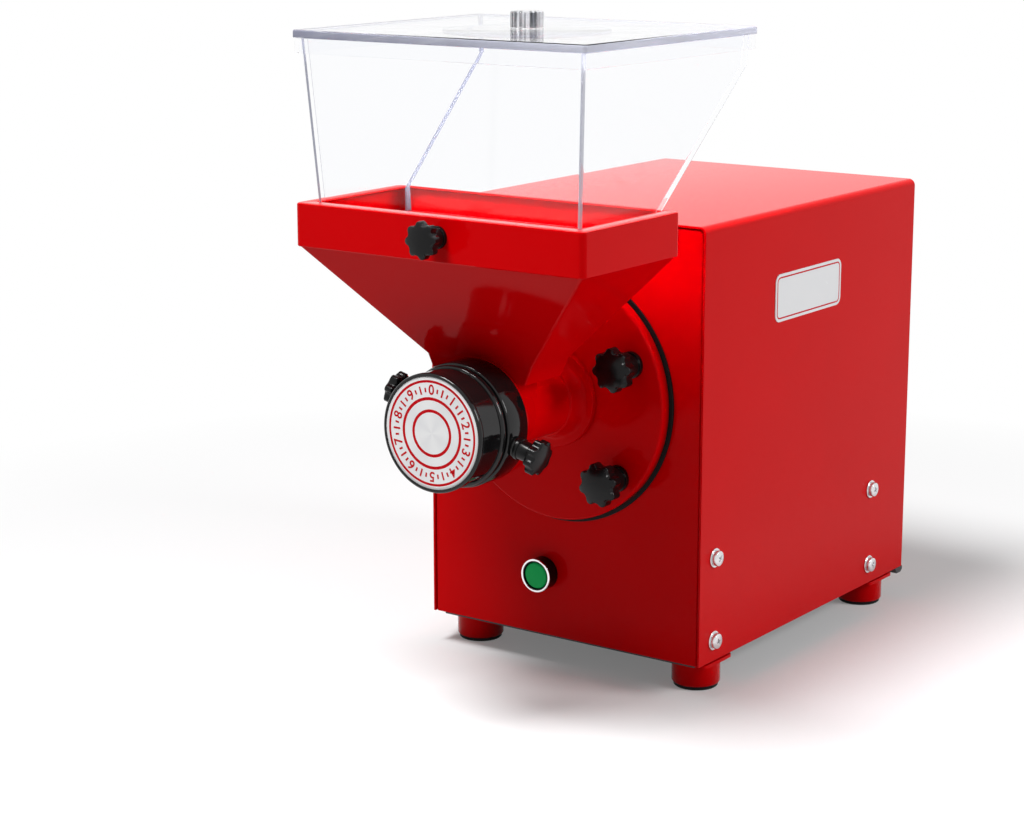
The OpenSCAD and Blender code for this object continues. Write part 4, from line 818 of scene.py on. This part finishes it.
def outline_at(shape, height, width, front, back, radius, steps=6):
    """Adds a level outline with rounded corners, in millimetres, and gives back its vertices."""
    corners = [(-width / 2, front), (width / 2, front), (width / 2, back), (-width / 2, back)]
    verts = [shape.verts.new(Vector((x, y, height)) * mm) for x, y in corners]
    shape.faces.new(verts)
    bmesh.ops.bevel(shape, geom=verts, offset=radius * mm, segments=steps, profile=0.5,
                    affect="VERTICES", material=-1)
    face = next(iter(shape.faces))
    verts = list(face.verts)
    first = min(verts, key=lambda v: (round(v.co.y / mm, 3), v.co.x))
    start = verts.index(first)
    bmesh.ops.delete(shape, geom=[face], context="FACES_ONLY")
    return verts[start:] + verts[:start]


def flat_sides(made):
    """Keeps the wide faces of a piece flat where they meet narrow rounded ones."""
    made.modifiers.new("flat_sides", "WEIGHTED_NORMAL").keep_sharp = True


def walls_through(levels, closed=False):
    """Walls that run from each outline to the next one, with a face over both ends if closed."""
    shape = bmesh.new()
    loops = [outline_at(shape, *level) for level in levels]
    for lower, upper in zip(loops, loops[1:]):
        for a, b, c, d in zip(lower, lower[1:] + lower[:1], upper[1:] + upper[:1], upper):
            shape.faces.new((a, b, c, d))
    if closed:
        shape.faces.new(loops[-1])
        shape.faces.new(loops[0][::-1])
    return shape


funnel_low, funnel_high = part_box("hopper_funnel")
front = funnel_low.y / mm
back = funnel_high.y / mm
collar_top = funnel_high.z / mm
spout_foot = funnel_low.z / mm
throat_reach = throat_half.y / mm - throat_wall
throat_front = throat_middle.y / mm - throat_reach
throat_back = throat_middle.y / mm + throat_reach
collar_w = (funnel_high.x - funnel_low.x) / mm
panel_at = panel_front / mm
spout_front = panel_at - head_start + 2.2 + 0.5
spout_back = spout_front + 52
fold = 1.6
funnel_levels = [
    (spout_foot, 44, throat_front, throat_back, 1.5),
    (spout_foot, 88, spout_front + 0.4, spout_back - 1, 2),
    (spout_foot + 15, 102, spout_front, spout_back, 2.5),
    (collar_top - 34.1, collar_w - 2 * fold, front + fold, back - fold, 3.2),
    (collar_top - 34.5, collar_w - 1.2, front + 0.6, back - 0.6, 4.4),
    (collar_top - 33.9, collar_w, front, back, 5),
    (collar_top - 1.5, collar_w, front, back, 5),
    (collar_top - 0.45, collar_w - 0.9, front + 0.45, back - 0.45, 4.7),
    (collar_top, collar_w - 3, front + 1.5, back - 1.5, 4),
    (collar_top, 251, front + 12.7, back - 4.5, 2),
]
funnel = walls_through(funnel_levels)
bmesh.ops.recalc_face_normals(funnel, faces=funnel.faces)
funnel = piece("funnel_shell", funnel, red_enamel, angle=42)
of_sheet(funnel, sheet)
flat_sides(funnel)
seat(funnel, "housing", "red_paint", "hopper_funnel")
ledge_top = collar_top - 19.5
ledge_foot = ledge_top - sheet / mm
ledge_outside = (collar_w - 3.9, front + 1.95, back - 1.95, 3)
ledge_inside = (237, front + 19.7, back - 11.5, 2)
ledge = walls_through([
    (ledge_foot, *ledge_outside), (ledge_top, *ledge_outside), (ledge_top, *ledge_inside),
    (ledge_foot, *ledge_inside), (ledge_foot, *ledge_outside),
])
bmesh.ops.remove_doubles(ledge, verts=ledge.verts, dist=0.002 * mm)
bmesh.ops.recalc_face_normals(ledge, faces=ledge.faces)
ledge = piece("funnel_ledge", ledge, red_enamel)
flat_sides(ledge)
seat(ledge, "housing", "red_paint")

# ---- Clear hopper ----
# The hopper is moulded from clear plastic 4 mm thick. Its foot stands in the funnel's collar,
# the back leans far out over the cover, and an upright band carries the lid. Its narrow rims and
# corners look grey, because light that runs along inside the sheet comes out there.


def clear_moulding(name, clearness, left, right):
    """Clear plastic, or with less clearness the painted grey look that light gives its edges, with painted
    shade from the darker left to the lighter right.
    """
    plastic = Finish(name, Transmission_Weight=clearness, IOR=1.06, Coat_Weight=0.3, Coat_IOR=1.45)
    # Painted shade: the colour runs from the darker left of the machine to its lighter right
    painted_shade_across = plastic.node("ShaderNodeTexCoord", {}, {}, "Object")
    settings = {"Vector": painted_shade_across, "Location": (0.5, 0, 0), "Scale": (3.6, 0, 0)}
    painted_shade_across = plastic.node("ShaderNodeMapping", {}, settings)
    painted_shade_across = plastic.node("ShaderNodeTexGradient", {}, {"Vector": painted_shade_across}, 1)
    plastic.colour(painted_shade_across + 0.3 * plastic.grain(9 * mm, 3) - 0.15, left, right)
    plastic.roughness(0.004 + 0.16 * (1 - clearness) + 0.012 * plastic.grain(20 * mm, 3))
    plastic.relief(plastic.grain(60 * mm, 2), 0.1 * mm)
    shadow = plastic.node("ShaderNodeLightPath", {}, {}, "Is Shadow Ray")
    open_to_light = plastic.node("ShaderNodeBsdfTransparent", {}, {"Color": (0.95, 0.95, 0.965)})
    surface = Wire(plastic, plastic.shader.outputs[0])
    surface = plastic.node("ShaderNodeMixShader", {}, {0: shadow, 1: surface, 2: open_to_light})
    plastic.feed(plastic.tree.nodes["Material Output"].inputs["Surface"], surface)
    return plastic


# The second colour of each pair is the lighter right side of the painted shade
clear_plastic = clear_moulding("clear_plastic", 1.0, (0.984, 0.987, 0.994), (0.986, 0.989, 0.996))
clear_edge = clear_moulding("clear_plastic_edge", 0.3, (0.28, 0.29, 0.37), (0.64, 0.65, 0.74))

clear_low, clear_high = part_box("clear_hopper")
clear_top = clear_high.z / mm
clear_foot = clear_low.z / mm
foot_front = front + 13.7
foot_back = back - 5.5
top_front = clear_low.y / mm
top_back = clear_high.y / mm
top_w = (clear_high.x - clear_low.x) / mm
foot_w = 249
knee = clear_top - 24.5
lean = (knee - collar_top) / (clear_top - collar_top)
hopper_wall = 4


def hopper_levels(gap, radius):
    """Outlines of the hopper's outer side, or of its inner side a wall further in."""
    knee_w = foot_w + lean * (top_w - foot_w)
    knee_front = foot_front + lean * (top_front - foot_front)
    return [
        (clear_foot, foot_w - 2 * gap, foot_front + gap, foot_back - gap, radius),
        (collar_top, foot_w - 2 * gap, foot_front + gap, foot_back - gap, radius),
        (knee, knee_w - 2 * gap, knee_front + gap, top_back - gap, radius),
        (clear_top, top_w - 2 * gap, top_front + gap, top_back - gap, radius),
    ]


outside = hopper_levels(0, 3.2)
hopper_shape = walls_through(outside + hopper_levels(hopper_wall, 1.2)[::-1] + outside[:1])
bmesh.ops.remove_doubles(hopper_shape, verts=hopper_shape.verts, dist=0.002 * mm)
bmesh.ops.recalc_face_normals(hopper_shape, faces=hopper_shape.faces)
# The left wall is seen end on through the front one, so that strip of the front looks grey too
spread_out = (top_w - foot_w) / 2 / (clear_top - collar_top)
cut_at = Vector((0.1 - foot_w / 2 + hopper_wall, 0, collar_top)) * mm
everything = [*hopper_shape.verts, *hopper_shape.edges, *hopper_shape.faces]
bmesh.ops.bisect_plane(hopper_shape, geom=everything, plane_co=cut_at, plane_no=(1, 0, spread_out))
for face in hopper_shape.faces:
    corner = min(abs(face.normal.x), abs(face.normal.y)) > 0.35
    aside = face.calc_center_median() - cut_at
    end_of_wall = aside.x + spread_out * aside.z < 0 and abs(face.normal.x) < 0.5
    face.material_index = int(corner or end_of_wall or abs(face.normal.z) > 0.95)
hopper = piece("clear_hopper_walls", hopper_shape, clear_plastic, clear_edge, edge=0.4 * mm, angle=50)
flat_sides(hopper)
seat(hopper, "hopper", "clear_plastic", "clear_hopper")

# ---- Lid ----
# The lid is moulded from the same clear plastic: a flat plate with an overhanging edge, a rim
# that drops round the hopper's mouth, a shallow round boss underneath, and a turned clear knob.

lid_low, lid_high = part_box("lid")
lid_front = lid_low.y / mm
lid_back = lid_high.y / mm
lid_top = lid_high.z / mm
rim_bottom = lid_low.z / mm
lid_w = (lid_high.x - lid_low.x) / mm
overhang = 1.2
rim_wall = 2.6
lid_ease = 1.4
# The eased top edge, as shares of lid_ease: how far down, narrower and inwards, and corner radius
lid_edge = ((1, 0, 0, 3.4), (0.5, 0.27, 0.13, 3.2), (0.13, 1, 0.5, 2.7), (0, 2, 1, 2))
rim = (lid_w - 2 * overhang, lid_front + overhang, lid_back - overhang, 2.2)
hole = (rim[0] - 2 * rim_wall, rim[1] + rim_wall, rim[2] - rim_wall, 2)
lid_shape = walls_through([
    (clear_top, *hole),
    (rim_bottom + 0.4, *hole),
    (rim_bottom, hole[0] + 0.8, hole[1] - 0.4, hole[2] + 0.4, 2.1),
    (rim_bottom, rim[0] - 0.8, rim[1] + 0.4, rim[2] - 0.4, 2.1),
    (rim_bottom + 0.4, *rim),
    (clear_top, *rim),
    (clear_top, lid_w - 1, lid_front + 0.5, lid_back - 0.5, 2.9),
    (clear_top + 0.5, lid_w, lid_front, lid_back, 3.4),
    *(
        (lid_top - down * lid_ease, lid_w - narrower * lid_ease, lid_front + inwards * lid_ease,
         lid_back - inwards * lid_ease, radius)
        for down, narrower, inwards, radius in lid_edge
    ),
], closed=True)
bmesh.ops.recalc_face_normals(lid_shape, faces=lid_shape.faces)
for face in lid_shape.faces:
    face.material_index = int(face.calc_center_median().z > (clear_top + 0.6) * mm and face.normal.z < 0.4)
lid = piece("clear_lid", lid_shape, clear_plastic, clear_edge, angle=50)
flat_sides(lid)
seat(lid, "hopper_lid", "clear_plastic", "lid")

knob_low, knob_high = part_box("lid_knob")
lid_middle = Matrix.Translation(((knob_low.x + knob_high.x) / 2, (knob_low.y + knob_high.y) / 2, 0))
boss_place = lid_middle @ Matrix.Translation((0, 0, clear_top * mm))
boss = turned([(0, -2.4), (65.2, -2.4), (66, -1.6), (66, -0.05), (0, -0.05)], boss_place, 144)
for face in boss.faces:
    face.material_index = int(abs(face.normal.z) < 0.9)
boss = piece("clear_lid_boss", boss, clear_plastic, clear_edge, angle=50)
seat(boss, "hopper_lid", "clear_plastic")

lid_knob_r = (knob_high.x - knob_low.x) / 2 / mm
lid_knob_h = (knob_high.z - knob_low.z) / mm
knob_profile = [
    (0, 0.05), (lid_knob_r - 0.5, 0.05), (lid_knob_r, 0.5), (lid_knob_r, lid_knob_h - 1.4),
    (lid_knob_r - 0.2, lid_knob_h - 0.7), (lid_knob_r - 0.7, lid_knob_h - 0.2),
    (lid_knob_r - 1.4, lid_knob_h), (0, lid_knob_h),
]
lid_knob = turned(knob_profile, lid_middle @ Matrix.Translation((0, 0, knob_low.z)), 96)
for face in lid_knob.faces:
    face.material_index = int(abs(face.normal.z) < 0.3)
# The knob's sides carry painted reflections: upright dark and light streaks, as a clear turned bar shows of
# its surroundings
knob_painted_reflections = clear_moulding("clear_knob_painted_reflections", 0.75, (0.40, 0.42, 0.46), (0.62, 0.64, 0.68))
painted_reflection_streaks = knob_painted_reflections.grain(3 * mm, 3, (1, 1, 30))
knob_painted_reflections.colour(knob_painted_reflections.node("ShaderNodeValToRGB", {"stops": [(0.42, 0.0), (0.6, 1.0)]}, {"Fac": painted_reflection_streaks}),
               (0.06, 0.065, 0.075), (0.80, 0.81, 0.83))
lid_knob = piece("clear_lid_knob", lid_knob, clear_plastic, knob_painted_reflections, angle=50)
seat(lid_knob, "hopper_lid", "clear_plastic", "lid_knob")

# ---- Studio ----
# A plain white floor that keeps the machine's shadow, a surround that also looks white in metal
# and through glass, and two large soft lamps: one high in front, one high on the right.

floor_shape = bmesh.new()
bmesh.ops.create_grid(floor_shape, x_segments=8, y_segments=8, size=8)
floor_finish = Finish("pale_floor", Roughness=0.9, Specular_IOR_Level=0.1)
floor_output = floor_finish.tree.nodes["Material Output"]
# The floor's own shading, with the shadow in it, fades into plain white at this distance
fade_radius = 1.1
spot = floor_finish.node("ShaderNodeTexCoord", {}, {}, "Object")
spot = floor_finish.node("ShaderNodeMapping", {}, {"Vector": spot, "Scale": (1 / fade_radius,) * 3})
far = floor_finish.node("ShaderNodeTexGradient", {"gradient_type": "SPHERICAL"}, {"Vector": spot}, 1)
far = floor_finish.node("ShaderNodeValToRGB", {"stops": [(0.1, 1.0), (0.62, 0.15)]}, {"Fac": far})
paths = floor_finish.node("ShaderNodeLightPath", {}, {}, "Is Camera Ray")
glossy = floor_finish.node("ShaderNodeLightPath", {}, {}, "Is Glossy Ray")
through = floor_finish.node("ShaderNodeLightPath", {}, {}, "Is Transmission Ray")
white = floor_finish.node("ShaderNodeEmission", {}, {"Color": (1, 1, 1), "Strength": 1.0})
lit = Wire(floor_finish, floor_finish.shader.outputs[0])
seen = (paths + glossy + through) * far
floor_surface = floor_finish.node("ShaderNodeMixShader", {}, {0: seen, 1: lit, 2: white})
floor_finish.feed(floor_output.inputs["Surface"], floor_surface)
bounce = floor_finish.node("ShaderNodeLightPath", {}, {}, "Is Diffuse Ray")
floor_finish.colour(bounce, (0.82, 0.82, 0.825), (0.45, 0.45, 0.45))
floor = piece("studio_floor", floor_shape, floor_finish)

world = bpy.data.worlds.new("studio")
bpy.context.scene.world = world
world.use_nodes = True
sky = world.node_tree


def sky_node(kind, inputs, output=0):
    """Adds a node to the world, with the values or outputs that feed its sockets."""
    made = sky.nodes.new(kind)
    for socket, value in inputs.items():
        if isinstance(value, bpy.types.NodeSocket):
            sky.links.new(value, made.inputs[socket])
        else:
            made.inputs[socket].default_value = value
    return made.outputs[output]


# The surround lights the machine weakly, and is plain white where it is seen
level = 0.14
for ray in ("Is Glossy Ray", "Is Transmission Ray", "Is Camera Ray"):
    shown = sky_node("ShaderNodeLightPath", {}, ray)
    level = sky_node("ShaderNodeMix", {"Factor": shown, "A": level, "B": 1.0})
sky.links.new(level, sky.nodes["Background"].inputs["Strength"])
sky.nodes["Background"].inputs["Color"].default_value = (1, 1, 1, 1)


def soft_lamp(name, place, aim, size, power):
    """A square softbox that shines from place towards aim."""
    light = bpy.data.lights.new(name, "AREA")
    light.size = size
    light.energy = power
    lamp = bpy.data.objects.new(name, light)
    bpy.context.scene.collection.objects.link(lamp)
    lamp.location = place
    lamp.rotation_euler = (Vector(aim) - Vector(place)).to_track_quat("-Z", "Y").to_euler()


soft_lamp("lamp_front", (-0.35, -0.85, 2.3), (0, 0, 0.3), 0.8, 71)
soft_lamp("lamp_right", (2.2, 0.45, 1.4), (0, 0, 0.25), 0.8, 30)

# ---- Camera ----
# The photograph was taken from the front right, a little above the machine.

camera_data = bpy.data.cameras.new("camera")
camera_data.sensor_width = 36
camera_data.lens = 85.27
camera_data.clip_end = 60
camera = bpy.data.objects.new("camera", camera_data)
bpy.context.scene.collection.objects.link(camera)
camera_place = Vector((1103.3, -1695.3, 667.9)) * mm
yaw, pitch, roll = radians(35.70), radians(90 - 12.80), radians(-0.05)
camera.matrix_world = (Matrix.Translation(camera_place) @ Matrix.Rotation(yaw, 4, "Z")
                       @ Matrix.Rotation(pitch, 4, "X") @ Matrix.Rotation(roll, 4, "Z"))
bpy.context.scene.camera = camera
bpy.context.scene.view_settings.view_transform = "Standard"
